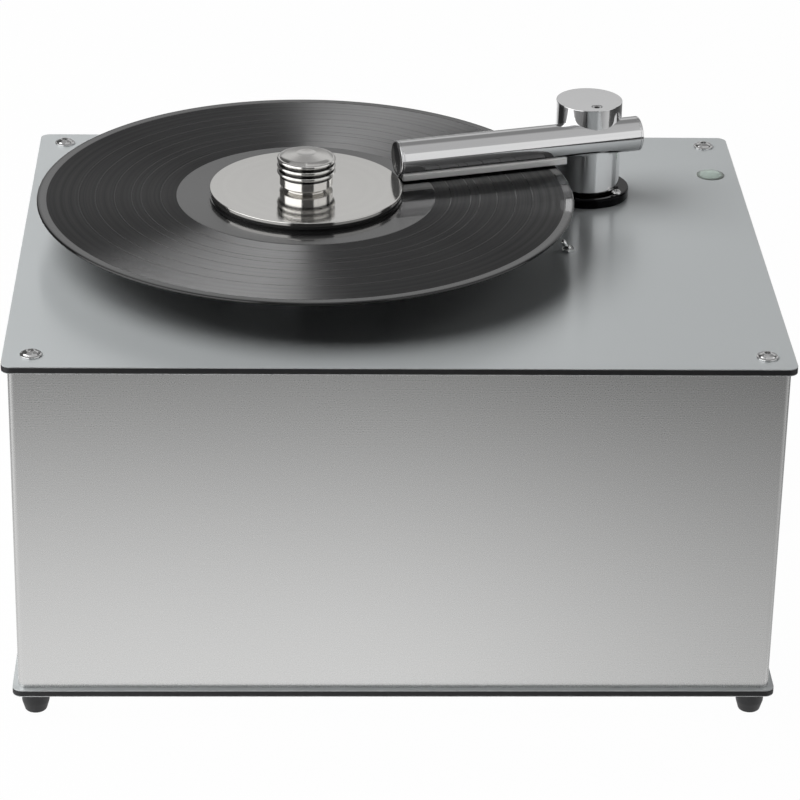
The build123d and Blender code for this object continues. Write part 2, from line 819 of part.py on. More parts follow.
def make_arm_ring_screws():
    screw = pan_screw(ring_screw_radius, ring_height + plate_thickness + ring_screw_end, ring_screw_head)
    return [Pos(x, y, ring_top) * Rot(0, 0, arm_heading) * screw for x, y in ring_screws_at()]


def make_arm_bush():
    return ring(bush_radius, swivel_radius + running_gap, bush_foot, ring_top, tower_x, tower_y)


def make_arm_swivel_tube():
    body = disc(swivel_radius, swivel_foot, swivel_top, tower_x, tower_y)
    body += disc(swivel_collar_radius, ring_top, post_under, tower_x, tower_y)
    return body - disc(swivel_inner, swivel_foot - past, swivel_top + past, tower_x, tower_y)


def make_swivel_nut():
    """A round nut that keeps the swivel tube from lifting out of its bush."""
    high = bush_foot - nut_play
    body = disc(nut_radius, high - nut_height, high, tower_x, tower_y)
    return body - disc(swivel_radius + fit, high - nut_height - past, high + past, tower_x, tower_y)


def make_arm_lift_spring():
    mean = (swivel_radius + chamber_radius) / 2
    low = post_under + spring_wire / 2
    height = spring_chamber - spring_wire
    path = Helix(height / spring_turns, height, mean)
    coil = sweep(Plane(origin=path @ 0, z_dir=path % 0) * Circle(spring_wire / 2), path=path, is_frenet=True)
    return Pos(tower_x, tower_y, low) * coil


def make_arm_post():
    """The round post: the tube lies in a groove in front of its axis, and its bore leads the air down."""
    body = disc(post_radius, post_under, post_top)
    body = chamfer(body.edges().group_by(Axis.Z)[-1], post_edge)
    body -= disc(chamber_radius, post_under - past, chamber_top)
    body -= disc(swivel_radius + 2 * running_gap, post_under - past, post_bore_top)
    body -= rod_x(tube_radius + fit / 2, -2 * post_radius, 2 * post_radius, -tube_offset, tube_level)
    body -= disc(tube_screw_radius + fit, tube_level, post_top + past, 0, -tube_offset)
    return on_arm(body)


def make_arm_tube():
    start, end = -tube_inner_end + cap_flange, tube_outer_end - cap_flange
    body = rod_x(tube_radius, start, end, -tube_offset, tube_level)
    body -= rod_x(tube_inner, start - past, end + past, -tube_offset, tube_level)
    port = Rot(-90, 0, 0) * Cylinder(port_radius, 4 * tube_wall)
    body -= Pos(0, -tube_offset + tube_inner, tube_level) * port
    margin = strip_half_width
    body -= block(-strip_inner_end + margin, -strip_outer_end - margin, -tube_offset - strip_slot / 2,
                  -tube_offset + strip_slot / 2, tube_level - tube_radius - 1, tube_level)
    return on_arm(body)


def make_arm_end_caps():
    """Two dished caps with a flange as wide as the tube and a plug inside it."""
    lip = tube_radius - cap_lip
    cap = Rot(0, 90, 0) * turned((0, -cap_plug), (tube_inner - fit, -cap_plug), (tube_inner - fit, 0),
                                 (tube_radius, 0), (tube_radius, cap_flange - cap_edge),
                                 (tube_radius - cap_edge, cap_flange), (lip, cap_flange),
                                 dome(lip, cap_flange, -cap_dish_depth))
    outer = Pos(tube_outer_end - cap_flange, -tube_offset, tube_level) * cap
    inner = Pos(-tube_inner_end + cap_flange, -tube_offset, tube_level) * Rot(0, 0, 180) * cap
    return [on_arm(inner), on_arm(outer)]


def make_suction_strip():
    """A bar under the tube with the suction slot through it and a fine line along each side."""
    left, right = -strip_inner_end, -strip_outer_end
    y0, y1 = -tube_offset - strip_half_width, -tube_offset + strip_half_width
    body = block(left, right, y0, y1, strip_under, strip_shoulder)
    body -= rod_x(tube_radius, left - past, right + past, -tube_offset, tube_level)
    line = strip_under + strip_line_level
    for y in (y0, y1):
        body -= block(left - past, right + past, y - strip_line, y + strip_line, line, line + strip_line)
    body -= block(left + strip_half_width, right - strip_half_width, -tube_offset - strip_slot / 2,
                  -tube_offset + strip_slot / 2, strip_under - 1, tube_level)
    return on_arm(body)


def make_velvet_pads():
    left, right = -strip_inner_end + pad_margin, -strip_outer_end - pad_margin
    inner = strip_slot / 2 + pad_margin
    outer = strip_half_width - pad_margin
    low = strip_under - pad_thickness
    return [on_arm(block(left, right, -tube_offset - outer, -tube_offset - inner, low, strip_under)),
            on_arm(block(left, right, -tube_offset + inner, -tube_offset + outer, low, strip_under))]


def make_arm_tube_screw():
    """A socket set screw that holds the tube, just under the top of the post."""
    high = post_top - tube_screw_sink
    body = disc(tube_screw_radius, tube_level + tube_radius + fit, high, 0, -tube_offset)
    body = chamfer(body.edges().group_by(Axis.Z)[-1], tube_screw_sink)
    return on_arm(body - hexagon(2 * tube_screw_key, high - tube_screw_radius, high + past, 0, -tube_offset))


# ---- Wet side --------------------------------------------------------------------------------------
def make_drop_hose():
    inner = bush_radius + fit
    low = lid_top + spigot_length - hose_overlap
    return ring(inner + hose_wall, inner, low, bush_foot + hose_overlap / 2, tower_x, tower_y)


def make_waste_tank():
    x, y = (tank_x0 + tank_x1) / 2, (tank_y0 + tank_y1) / 2
    width, depth = tank_x1 - tank_x0, tank_y1 - tank_y0
    tank = slab(width, depth, tank_corner, base_top, tank_top, x, y)
    tank += rod_y(drain_outer_radius, tank_y1 - tank_wall, panel_outside, drain_x, drain_z)
    tank -= slab(width - 2 * tank_wall, depth - 2 * tank_wall, tank_corner - tank_wall,
                 base_top + tank_wall, tank_top + 1, x, y)
    return tank - rod_y(drain_bore_radius, tank_y1 - tank_wall - past, panel_outside + past, drain_x, drain_z)


def make_tank_lid():
    """The lid with its spigots for the two hoses and a seat for the float tube."""
    x, y = (tank_x0 + tank_x1) / 2, (tank_y0 + tank_y1) / 2
    width, depth = tank_x1 - tank_x0, tank_y1 - tank_y0
    step = 2 * (tank_wall + lid_fit)
    lid = slab(width, depth, tank_corner, tank_top, lid_top, x, y)
    lid += slab(width - step, depth - step, tank_corner - tank_wall, tank_top - lid_rim, tank_top, x, y)
    lid -= slab(width - step - 2 * tank_wall, depth - step - 2 * tank_wall, tank_wall / 2,
                tank_top - lid_rim - 1, tank_top, x, y)
    lid += disc(bush_radius, tank_top, spigot_top, tower_x, tower_y)
    lid -= disc(bush_radius - spigot_wall, tank_top - lid_rim - past, spigot_top + past, tower_x, tower_y)
    lid += disc(intake_radius, tank_top, spigot_top, vacuum_spigot_x, vacuum_spigot_y)
    lid -= disc(intake_radius - spigot_wall, tank_top - lid_rim - past, spigot_top + past,
                vacuum_spigot_x, vacuum_spigot_y)
    return lid - disc(float_tube_inner, tank_top - lid_rim - past, lid_top + past, lens_x, lens_y)


def make_level_float():
    """A float on a thin rod, with a flag that shows under the lens when the tank is full."""
    x, y = lens_x, lens_y
    low = base_top + tank_wall
    flag_top = deck_under - lens_stem - float_travel - flag_gap
    body = disc(float_radius, low, low + float_height, x, y)
    body = fillet(body.edges(), float_round)
    body += disc(float_rod_radius, low + float_height / 2, flag_top, x, y)
    return body + disc(float_flag_radius, flag_top - float_flag_height, flag_top, x, y)


def make_level_tube():
    return ring(float_tube_outer, float_tube_inner, lid_top, deck_under, lens_x, lens_y)


def make_level_lens():
    """A clear domed lens with a stem that goes down through the deck."""
    r, rim, edge = lens_radius, lens_flange, lens_edge
    return turned((0, deck_under - lens_stem), (lens_stem_radius, deck_under - lens_stem),
                  (lens_stem_radius, deck), (r, deck), (r, deck + rim / 2), (r - edge, deck + rim),
                  dome(r - edge, deck + rim, lens_dome), x=lens_x, y=lens_y)


def make_drain_plug():
    """A coin-slotted plug in the end of the tank's drain."""
    body = rod_y(drain_head_radius, panel_outside, panel_outside + drain_head, drain_x, drain_z)
    body = chamfer(body.edges().group_by(Axis.Y)[-1], drain_edge)
    body += rod_y(drain_bore_radius - fit, panel_outside - drain_stem, panel_outside, drain_x, drain_z)
    reach = drain_head_radius + past
    return body - block(drain_x - reach, drain_x + reach, panel_outside + drain_head - drain_slot,
                        panel_outside + drain_head + 1, drain_z - drain_slot / 2, drain_z + drain_slot / 2)


# ---- Air side --------------------------------------------------------------------------------------
def make_vacuum_seat():
    """A rubber ring between the base plate and the vacuum motor."""
    outer = blower_motor_radius + seat_margin
    return ring(outer, outer - seat_width, base_top, seat_top, blower_x, blower_y)


def make_vacuum_motor():
    """The motor's can, with its stator as a thick ring inside and a bearing at each end."""
    x, y, wall = blower_x, blower_y, blower_motor_wall
    can = disc(blower_motor_radius, seat_top, blower_motor_top, x, y)
    can -= disc(blower_motor_radius - wall, seat_top + wall, blower_motor_top - wall, x, y)
    middle = (seat_top + blower_motor_top) / 2
    can += ring(blower_motor_radius - wall / 2, armature_radius + armature_gap, middle - armature_height / 2,
                middle + armature_height / 2, x, y)
    return can - disc(fan_shaft_radius + running_gap, seat_top + wall / 2, blower_motor_top + past, x, y)


def make_fan_housing():
    """A shallow drum over the fan, with its intake on top and outlet slots round its side."""
    x, y, wall = blower_x, blower_y, fan_housing_wall
    drum = disc(fan_housing_radius, blower_motor_top, fan_housing_top, x, y)
    drum += disc(intake_radius, fan_housing_top, intake_top, x, y)
    drum -= disc(fan_housing_radius - wall, fan_floor, fan_housing_top - wall, x, y)
    drum -= disc(intake_radius - spigot_wall, fan_housing_top - wall - past, intake_top + past, x, y)
    drum -= disc(fan_shaft_radius * 2, blower_motor_top - past, fan_floor + past, x, y)
    slot = block(fan_housing_radius - 3 * wall, fan_housing_radius + wall, -outlet_width / 2,
                 outlet_width / 2, fan_floor + outlet_margin, fan_housing_top - wall - outlet_margin)
    for k in range(outlet_slots):
        drum -= Pos(x, y, 0) * Rot(0, 0, (k + 0.5) * 360 / outlet_slots) * slot
    return drum


def make_fan_impeller():
    """A hub and a disc with swept blades."""
    low = fan_floor + fan_lift
    high = low + fan_height
    body = disc(fan_radius, low, low + fan_disc) + disc(fan_hub_radius, low, high)
    blade = block(-blade_length / 2, blade_length / 2, -blade_thickness / 2, blade_thickness / 2, low, high)
    blade = Pos(blade_place, 0, 0) * Rot(0, 0, blade_sweep) * blade
    for k in range(fan_blades):
        body += Rot(0, 0, k * 360 / fan_blades) * blade
    return Pos(blower_x, blower_y, 0) * (body - disc(fan_shaft_radius + fit, low - past, high + past))


def make_fan_shaft():
    """The shaft that carries the armature in the motor and the fan above it."""
    x, y = blower_x, blower_y
    middle = (seat_top + blower_motor_top) / 2
    foot = seat_top + blower_motor_wall / 2 + shaft_floor
    shaft = disc(fan_shaft_radius, foot, fan_floor + fan_lift + fan_height + shaft_rise, x, y)
    return shaft + disc(armature_radius, middle - armature_height / 2, middle + armature_height / 2, x, y)


def make_vacuum_bracket():
    """A band round the fan housing on three legs that stand on the base plate."""
    inner = fan_housing_radius + fit
    outer = inner + bracket_thickness
    high = fan_housing_top - fan_housing_wall
    body = ring(outer, inner, high - bracket_band, high)
    for k in range(bracket_legs):
        leg = block(inner, outer, -bracket_leg_width / 2, bracket_leg_width / 2, base_top, high)
        leg += block(inner, outer + bracket_foot, -bracket_leg_width / 2, bracket_leg_width / 2,
                     base_top, base_top + bracket_thickness)
        leg -= disc(inner, base_top - past, high + past)
        body += Rot(0, 0, bracket_turn + k * 360 / bracket_legs) * leg
    return Pos(blower_x, blower_y, 0) * body


def make_vacuum_hose():
    """From the tank lid up and across to the fan's intake."""
    start = (vacuum_spigot_x, vacuum_spigot_y, spigot_top - hose_overlap)
    over_tank = (vacuum_spigot_x, vacuum_spigot_y, vacuum_hose_level)
    over_fan = (blower_x, blower_y, vacuum_hose_level)
    end = (blower_x, blower_y, intake_top - hose_overlap)
    return bent_tube([start, over_tank, over_fan, end], vacuum_hose_bend, hose_outer, hose_inner)


# ---- Electrics -------------------------------------------------------------------------------------
def make_power_inlet():
    """A recessed mains inlet with three flat pins."""
    x, z = inlet_x, connector_z
    half_w, half_h = inlet_width / 2, inlet_height / 2
    body = block(x - half_w, x + half_w, panel_outside - inlet_depth, panel_outside, z - half_h, z + half_h)
    body += block(x - half_w - inlet_border, x + half_w + inlet_border, panel_outside,
                  panel_outside + inlet_flange, z - half_h - inlet_border, z + half_h + inlet_border)
    floor = panel_outside + inlet_flange - socket_depth
    body -= block(x - socket_width / 2, x + socket_width / 2, floor, half_depth, z - socket_height / 2,
                  z + socket_height / 2)
    for dx, dz in ((-pin_pitch, -pin_drop), (0, pin_rise), (pin_pitch, -pin_drop)):
        body += block(x + dx - pin_width / 2, x + dx + pin_width / 2, floor - past, floor + pin_length,
                      z + dz - pin_width, z + dz + pin_width)
    return body


def make_rocker_frame():
    x, z = rocker_x, connector_z
    half_w, half_h = rocker_width / 2 + rocker_wall, rocker_height / 2 + rocker_wall
    face = panel_outside + rocker_border
    body = block(x - half_w, x + half_w, face - rocker_depth, face, z - half_h, z + half_h)
    body += block(x - half_w - rocker_border, x + half_w + rocker_border, panel_outside, face,
                  z - half_h - rocker_border, z + half_h + rocker_border)
    body -= block(x - rocker_width / 2, x + rocker_width / 2, face - rocker_depth + rocker_wall, face + past,
                  z - rocker_height / 2, z + rocker_height / 2)
    return body


def make_power_rocker():
    """A rocker that pivots on a sideways axis. At rest its lower half is pressed in."""
    half = rocker_height / 2 - rocker_gap
    front, back = rocker_front, rocker_front - rocker_key_depth
    edge = front - rocker_edge
    slim = half - rocker_gap
    outline = Polyline((back, -slim), (back, slim), (edge, half), (front, half),
                       (front - rocker_hollow, 0), (front, -half), (edge, -half), close=True)
    body = extrude(make_face(Plane.YZ * outline), rocker_width / 2 - rocker_gap, both=True)
    return Pos(rocker_x, rocker_pivot, connector_z) * Rot(-rocker_tilt, 0, 0) * body


def make_toggle_body():
    """The switch under the deck, with its bushing up through the hole."""
    x, y = toggle_x, toggle_y
    body = block(x - toggle_body_length / 2, x + toggle_body_length / 2, y - toggle_body_width / 2,
                 y + toggle_body_width / 2, deck_under - toggle_body_height, deck_under)
    body += disc(bushing_radius, deck_under, deck + bushing_rise, x, y)
    floor = deck + lever_pivot - lever_ball_radius - past
    body -= disc(bushing_bore, floor, deck + bushing_rise + past, x, y)
    low = deck_under - toggle_body_height
    for dx in (-toggle_tag_pitch, 0, toggle_tag_pitch):
        thin, wide = toggle_tag_thickness / 2, toggle_tag_width / 2
        body += block(x + dx - thin, x + dx + thin, y - wide, y + wide, low - toggle_tag_length, low)
    return body


def make_toggle_nut():
    nut = hexagon(toggle_nut_flats, deck, deck + toggle_nut_height, toggle_x, toggle_y)
    return nut - disc(bushing_radius + fit, deck - past, deck + bushing_rise, toggle_x, toggle_y)


def make_toggle_lever():
    """A bat lever on a ball, leaning left."""
    rod = turned((0, 0), (lever_root_radius, 0), (lever_tip_radius, lever_length - lever_tip_radius),
                 dome(lever_tip_radius, lever_length - lever_tip_radius, lever_tip_radius))
    lever = Rot(0, -lever_tilt, 0) * (Sphere(lever_ball_radius) + rod)
    return Pos(toggle_x, toggle_y, deck + lever_pivot) * lever


def make_power_board():
    """The circuit board on its four pillars."""
    body = block(board_x0, board_x0 + board_width, board_y0, board_y1, board_under, board_top)
    inset = board_post_inset
    for x, y in corners(board_width / 2 - inset, board_depth / 2 - inset):
        body += disc(board_post_radius, base_top, board_under, board_x0 + board_width / 2 + x,
                     board_y0 + board_depth / 2 + y)
    return body


def terminal_places():
    """The left ends of the terminal blocks along the board's back edge."""
    first = board_x0 + (board_width - (terminal_count - 1) * terminal_pitch - terminal_width) / 2
    return [first + k * terminal_pitch for k in range(terminal_count)]


def make_board_parts():
    """The transformer, motor capacitor, relay, regulator and terminal blocks on the board."""
    left, front, top = board_x0 + part_gap, board_y0 + part_gap, board_top
    second = left + transformer_width + part_gap
    back = front + 2 * capacitor_radius + part_gap
    third = second + relay_width + part_gap
    parts = [block(left, left + transformer_width, front, front + transformer_depth, top,
                   top + transformer_height)]
    parts.append(rod_x(capacitor_radius, second, second + capacitor_length, front + capacitor_radius,
                       top + capacitor_radius))
    parts.append(block(second, second + relay_width, back, back + relay_depth, top, top + relay_depth))
    parts.append(block(third, third + regulator_width, back, back + regulator_depth, top,
                       top + regulator_width))
    y1 = board_y1 - terminal_edge
    for x in terminal_places():
        parts.append(block(x, x + terminal_width, y1 - terminal_depth, y1, top, top + terminal_height))
    return parts


def make_wiring():
    """Leads from the board's terminal blocks to the drive motor, the rocker and the inlet."""
    y = board_y1 - terminal_edge
    level = board_top + terminal_height / 2
    ends = [(x + terminal_width / 2, y, level) for x in terminal_places()]
    drive_x = spindle_x - motor_radius / 2
    drive_y = spindle_y - motor_radius / 2
    motor_under = gearbox_under - motor_height
    drive = [ends[1], (ends[1][0], y + wire_lead, level), (drive_x, drive_y, level),
             (drive_x, drive_y, motor_under)]
    leads = [bent_tube(drive, wire_bend, wire_radius)]
    for end, x, back in ((ends[2], rocker_x, panel_outside + rocker_border - rocker_depth),
                         (ends[3], inlet_x, panel_outside - inlet_depth)):
        run = [end, (end[0], y + 2 * wire_lead, level), (x, back - 3 * wire_lead, level),
               (x, back - wire_lead, connector_z), (x, back, connector_z)]
        leads.append(bent_tube(run, wire_bend, wire_radius))
    return leads


PIECES = {
    "top_plate": make_top_plate,
    "base_plate": make_base_plate,
    "case_wall": make_case_wall,
    "rear_panel": make_rear_panel,
    "corner_posts": make_corner_posts,
    "plate_screws": make_plate_screws,
    "panel_screws": make_panel_screws,
    "feet": make_feet,
    "foot_screws": make_foot_screws,
    "bearing_housing": make_bearing_housing,
    "platter_bushes": make_platter_bushes,
    "housing_screws": make_housing_screws,
    "motor_standoffs": make_motor_standoffs,
    "gearbox": make_gearbox,
    "drive_motor": make_drive_motor,
    "gearbox_shaft": make_gearbox_shaft,
    "shaft_coupling": make_shaft_coupling,
    "platter_spindle": make_platter_spindle,
    "platter": make_platter,
    "platter_mat": make_platter_mat,
    "record": make_record,
    "clamp_disc": make_clamp_disc,
    "clamp_seal": make_clamp_seal,
    "clamp_collet": make_clamp_collet,
    "clamp_knob": make_clamp_knob,
    "arm_base_ring": make_arm_base_ring,
    "arm_ring_screws": make_arm_ring_screws,
    "arm_bush": make_arm_bush,
    "arm_swivel_tube": make_arm_swivel_tube,
    "swivel_nut": make_swivel_nut,
    "arm_lift_spring": make_arm_lift_spring,
    "arm_post": make_arm_post,
    "arm_tube": make_arm_tube,
    "arm_end_caps": make_arm_end_caps,
    "suction_strip": make_suction_strip,
    "velvet_pads": make_velvet_pads,
    "arm_tube_screw": make_arm_tube_screw,
    "drop_hose": make_drop_hose,
    "waste_tank": make_waste_tank,
    "tank_lid": make_tank_lid,
    "level_float": make_level_float,
    "level_tube": make_level_tube,
    "level_lens": make_level_lens,
    "drain_plug": make_drain_plug,
    "vacuum_seat": make_vacuum_seat,
    "vacuum_motor": make_vacuum_motor,
    "fan_housing": make_fan_housing,
    "fan_impeller": make_fan_impeller,
    "fan_shaft": make_fan_shaft,
    "vacuum_bracket": make_vacuum_bracket,
    "vacuum_hose": make_vacuum_hose,
    "power_inlet": make_power_inlet,
    "rocker_frame": make_rocker_frame,
    "power_rocker": make_power_rocker,
    "toggle_body": make_toggle_body,
    "toggle_nut": make_toggle_nut,
    "toggle_lever": make_toggle_lever,
    "power_board": make_power_board,
    "board_parts": make_board_parts,
    "wiring": make_wiring,
}


def main():
    os.makedirs("parts", exist_ok=True)
    for name, make in PIECES.items():
        made = make()
        if isinstance(made, list):
            made = Compound(children=[solid for piece in made for solid in piece.solids()])
        export_step(made, f"parts/{name}.step")


if __name__ == "__main__":
    main()
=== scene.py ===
"""Looks of a vacuum record cleaning machine, laid out as an add-on and run as a script.

The CAD frame gives every place and size; the property groups hold the finer sizes, the colours and the light.
Metres. X points right, Y back and Z up.
"""

import bmesh
import bpy
import numpy as np
from bpy.props import FloatProperty, FloatVectorProperty, IntProperty, PointerProperty
from mathutils import Matrix, Vector


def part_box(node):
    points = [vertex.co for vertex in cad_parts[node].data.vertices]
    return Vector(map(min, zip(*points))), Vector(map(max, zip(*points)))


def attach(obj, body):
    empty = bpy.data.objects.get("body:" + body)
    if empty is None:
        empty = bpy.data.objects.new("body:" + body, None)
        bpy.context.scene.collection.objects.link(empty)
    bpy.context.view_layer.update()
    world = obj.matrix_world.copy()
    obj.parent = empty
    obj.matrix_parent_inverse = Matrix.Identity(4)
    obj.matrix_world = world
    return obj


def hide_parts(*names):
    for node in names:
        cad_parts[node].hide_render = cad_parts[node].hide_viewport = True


bl_info = {
    "name": "Record cleaning machine looks",
    "version": (1, 0, 0),
    "blender": (4, 5, 0),
    "location": "View3D > Sidebar > Cleaner",
    "description": "Builds the surfaces, finishes and studio of a record cleaning machine",
    "category": "Object",
}

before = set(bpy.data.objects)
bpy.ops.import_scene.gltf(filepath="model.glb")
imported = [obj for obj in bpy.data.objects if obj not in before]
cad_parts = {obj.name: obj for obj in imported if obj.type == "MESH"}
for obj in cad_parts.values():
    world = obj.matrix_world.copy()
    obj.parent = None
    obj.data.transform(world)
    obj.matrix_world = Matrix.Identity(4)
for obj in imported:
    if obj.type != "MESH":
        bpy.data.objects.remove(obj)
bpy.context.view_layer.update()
MM = 0.001
UP = np.array([0.0, 0.0, 1.0])
BACK = np.array([0.0, 1.0, 0.0])
HOLD = 0.2 * MM                 # from a corner to the point that keeps the stretch beside it flat
NO_HOLD = 1.0                   # longer than any stretch, so that none gets such points
MERGED = 1e-7                   # points closer than this become one
QUARTER_TURN = 0.25             # of sheen: it then spreads across the tool marks instead of along them


# ---- Places taken from the frame -----------------------------------------------------------------
def box(node):
    """Lowest and highest corner of a CAD node."""
    low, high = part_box(node)
    return np.array(low), np.array(high)


def axis_of(node):
    """The point on the table under the middle of a CAD node."""
    low, high = box(node)
    return np.array([(low[0] + high[0]) / 2, (low[1] + high[1]) / 2, 0.0])


def radius_of(node):
    """Half the width of a round CAD node."""
    low, high = box(node)
    return (high[0] - low[0]) / 2


def levels(node):
    """The heights where a CAD node starts and ends."""
    low, high = box(node)
    return low[2], high[2]


def corners_of(node, inset, level):
    """Four places at a level, inside the corners of a CAD node that lies about the table's middle."""
    low, high = box(node)
    across, deep = (high[:2] - low[:2]) / 2 - inset
    return [np.array((x, y, level)) for x in (-across, across) for y in (-deep, deep)]


# ---- Profiles and surfaces -----------------------------------------------------------------------
def held(profile, closed, hold):
    """The profile with a point near each end of every long stretch, so that smooth shading leaves it flat."""
    ends = np.roll(profile, -1, axis=0)
    stretches = []
    for k, (start, end) in enumerate(zip(profile, ends)):
        stretches.append(start[None])
        size = np.linalg.norm(end - start)
        if size > 3 * hold and (closed or k < len(profile) - 1):
            step = (end - start) / size * hold
            stretches.append(np.array([start + step, end - step]))
    return np.vstack(stretches)


def outline(corners, closed=False, steps=6, hold=HOLD):
    """A profile through corners (across, up, rounding); a rounded corner becomes a true arc.

    Between its tangent points P0 and P2 the arc is ((1-s)^2 P0 + 2 w s (1-s) P1 + s^2 P2) divided by the same
    sum of weights, where P1 is the corner and w the sine of half the corner's angle.
    """
    places = np.array([corner[:2] for corner in corners], float)
    before = np.roll(places, 1, axis=0)
    after = np.roll(places, -1, axis=0)
    last = len(corners) - 1
    stretches = []
    for k, corner in enumerate(corners):
        rounding = corner[2] if len(corner) > 2 else 0.0
        if rounding <= 0 or (not closed and k in (0, last)):
            stretches.append(places[k][None])
            continue
        back = (before[k] - places[k]) / np.linalg.norm(before[k] - places[k])
        ahead = (after[k] - places[k]) / np.linalg.norm(after[k] - places[k])
        half = np.arccos(np.clip(back @ ahead, -1, 1)) / 2
        reach = rounding / np.tan(half)
        s = np.linspace(0, 1, steps + 1)[:, None]
        near, mid, far = (1 - s) ** 2, 2 * np.sin(half) * s * (1 - s), s ** 2
        start = places[k] + back * reach
        end = places[k] + ahead * reach
        stretches.append((near * start + mid * places[k] + far * end) / (near + mid + far))
    return held(np.vstack(stretches), closed, hold)


def dome(radius, level, rise, steps=8, power=2.0):
    """Points of a cap from its rim to its middle: level + rise * (1 - (r / radius) ** power)."""
    r = radius * (1 - np.linspace(0, 1, steps + 1))
    return np.stack([r, level + rise * (1 - (r / radius) ** power)], axis=1)


def turned(profile, centre=(0, 0, 0), columns=160):
    """A profile (r, z) turned about the upright through centre: (r cos a, r sin a, z) over a full turn."""
    angle = np.linspace(0, 2 * np.pi, columns, endpoint=False)
    r = profile[:, :1]
    z = profile[:, 1:] + 0 * angle
    return np.stack([r * np.cos(angle), r * np.sin(angle), z], axis=-1) + np.asarray(centre)


def shaped(rows, centre=(0, 0, 0), columns=96):
    """Rows of (radius, z), where a radius may be a function of the angle a: (r(a) cos a, r(a) sin a, z)."""
    angle = np.linspace(0, 2 * np.pi, columns, endpoint=False)
    r = np.array([radius(angle) if callable(radius) else radius + 0 * angle for radius, _ in rows])
    z = np.array([level for _, level in rows])[:, None] + 0 * angle
    return np.stack([r * np.cos(angle), r * np.sin(angle), z], axis=-1) + np.asarray(centre)


def plate(half_width, half_depth, corner, profile, steps=12):
    """A plate with round corners from rows of (inset, z).

    A point is the middle of its corner's arc + (corner - inset) * (cos a, sin a). The first and the last row
    are closed to a point below and above the plate's middle.
    """
    quarter = np.linspace(0, np.pi / 2, steps + 1)
    angle = np.concatenate([quarter + k * np.pi / 2 for k in range(4)])
    sides = np.repeat([(1, 1), (-1, 1), (-1, -1), (1, -1)], steps + 1, axis=0)
    middles = sides * (half_width - corner, half_depth - corner)
    reach = corner - profile[:, :1, None]
    around = np.stack([np.cos(angle), np.sin(angle)], axis=-1)[None]
    flat = middles[None] + reach * around
    points = np.concatenate([flat, profile[:, 1:, None] + 0 * flat[:, :, :1]], axis=-1)
    closing = points[[0, -1]] * (0, 0, 1)
    return np.concatenate([closing[:1], points, closing[1:]])


def hexagon(flats):
    """Outline of a hexagon: half its flats over the cosine of the angle from the nearest flat's middle."""
    sixth = np.pi / 3
    return lambda a: flats / 2 / np.cos((a + sixth / 2) % sixth - sixth / 2)


def cross(reach, half_width):
    """Outline of a cross: its arm's end near the arm's middle line, and elsewhere its arm's side."""
    quarter = np.pi / 2

    def radius(a):
        """The arm's end or its side, whichever is nearer, where turn is the angle from the nearest arm."""
        turn = np.abs((a + quarter / 2) % quarter - quarter / 2)
        side = half_width / np.maximum(np.sin(turn), 1e-6)
        return np.minimum(reach / np.cos(turn), side)

    return radius


def carried(sections, places, sideways):
    """Sections (across, up) carried along places, with closed ends: place + across * sideways + up * UP."""
    sections = np.broadcast_to(sections, (len(places), *np.shape(sections)[-2:]))
    across = sections[:, :, :1] * np.asarray(sideways)[:, None, :]
    up = sections[:, :, 1:] * UP
    points = np.asarray(places)[:, None, :] + across + up
    closing = points[[0, -1]].mean(axis=1, keepdims=True) + 0 * points[[0, -1]]
    return np.concatenate([closing[:1], points, closing[1:]])


def laid(points, right, back, up, origin):
    """Points moved from a local frame, given by its three directions, to its origin."""
    return points @ np.array([right, back, up]) + np.asarray(origin)


def quads(rows, columns, around):
    """Corner numbers of the quads between neighbouring rows; columns always close, rows if around is true."""
    index = np.arange(rows * columns).reshape(rows, columns)
    if around:
        index = np.vstack([index, index[:1]])
    beside = np.roll(index, -1, axis=1)
    faces = [index[:-1], beside[:-1], beside[1:], index[1:]]
    return np.stack(faces, axis=-1).reshape(-1, 4)


def piece(name, body, shells, finish, replaces, crease=32.0):
    """One object from shells of points [rows, columns, xyz], riding on a CAD body in the place of CAD nodes.

    A shell may come as (points, True), whose last row joins its first. Points that coincide, at poles and
    ends, are merged, and every closed shell's faces are turned outwards. Edges sharper than crease, in
    degrees, stay hard.
    """
    vertices, faces, count = [], [], 0
    for shell in shells:
        points, around = shell if isinstance(shell, tuple) else (shell, False)
        faces.append(quads(points.shape[0], points.shape[1], around) + count)
        vertices.append(points.reshape(-1, 3))
        count += points.shape[0] * points.shape[1]
    mesh = bpy.data.meshes.new(name)
    mesh.from_pydata(np.vstack(vertices).tolist(), [], np.vstack(faces).tolist())
    work = bmesh.new()
    work.from_mesh(mesh)
    bmesh.ops.remove_doubles(work, verts=work.verts, dist=MERGED)
    bmesh.ops.dissolve_degenerate(work, edges=work.edges, dist=MERGED / 10)
    bmesh.ops.recalc_face_normals(work, faces=work.faces)
    work.to_mesh(mesh)
    work.free()
    mesh.polygons.foreach_set("use_smooth", np.ones(len(mesh.polygons), bool))
    mesh.set_sharp_from_angle(angle=np.radians(crease))
    mesh.materials.append(finish)
    made = bpy.data.objects.new(name, mesh)
    bpy.context.scene.collection.objects.link(made)
    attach(made, body)
    if replaces:
        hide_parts(*replaces)
    return made


def lathed(name, body, profile, centre, columns, finish, replaces, crease=32.0):
    """One piece from a profile turned about the upright through centre, whose ends meet."""
    return piece(name, body, [(turned(profile, centre, columns), True)], finish, replaces, crease)


def brush_sideways(made):
    """Turns the sheen's grain along X all over a piece: its texture space lies far in front of it."""
    far = 1000.0
    made.data.use_auto_texspace = False
    made.data.texspace_location = (0.0, -far, 0.0)
    made.data.texspace_size = (1.0, 1.0, 1.0)


def dress(finish, *nodes):
    """Gives carried-over CAD nodes a finish."""
    for node in nodes:
        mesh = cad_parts[node].data
        mesh.materials.clear()
        mesh.materials.append(finish)


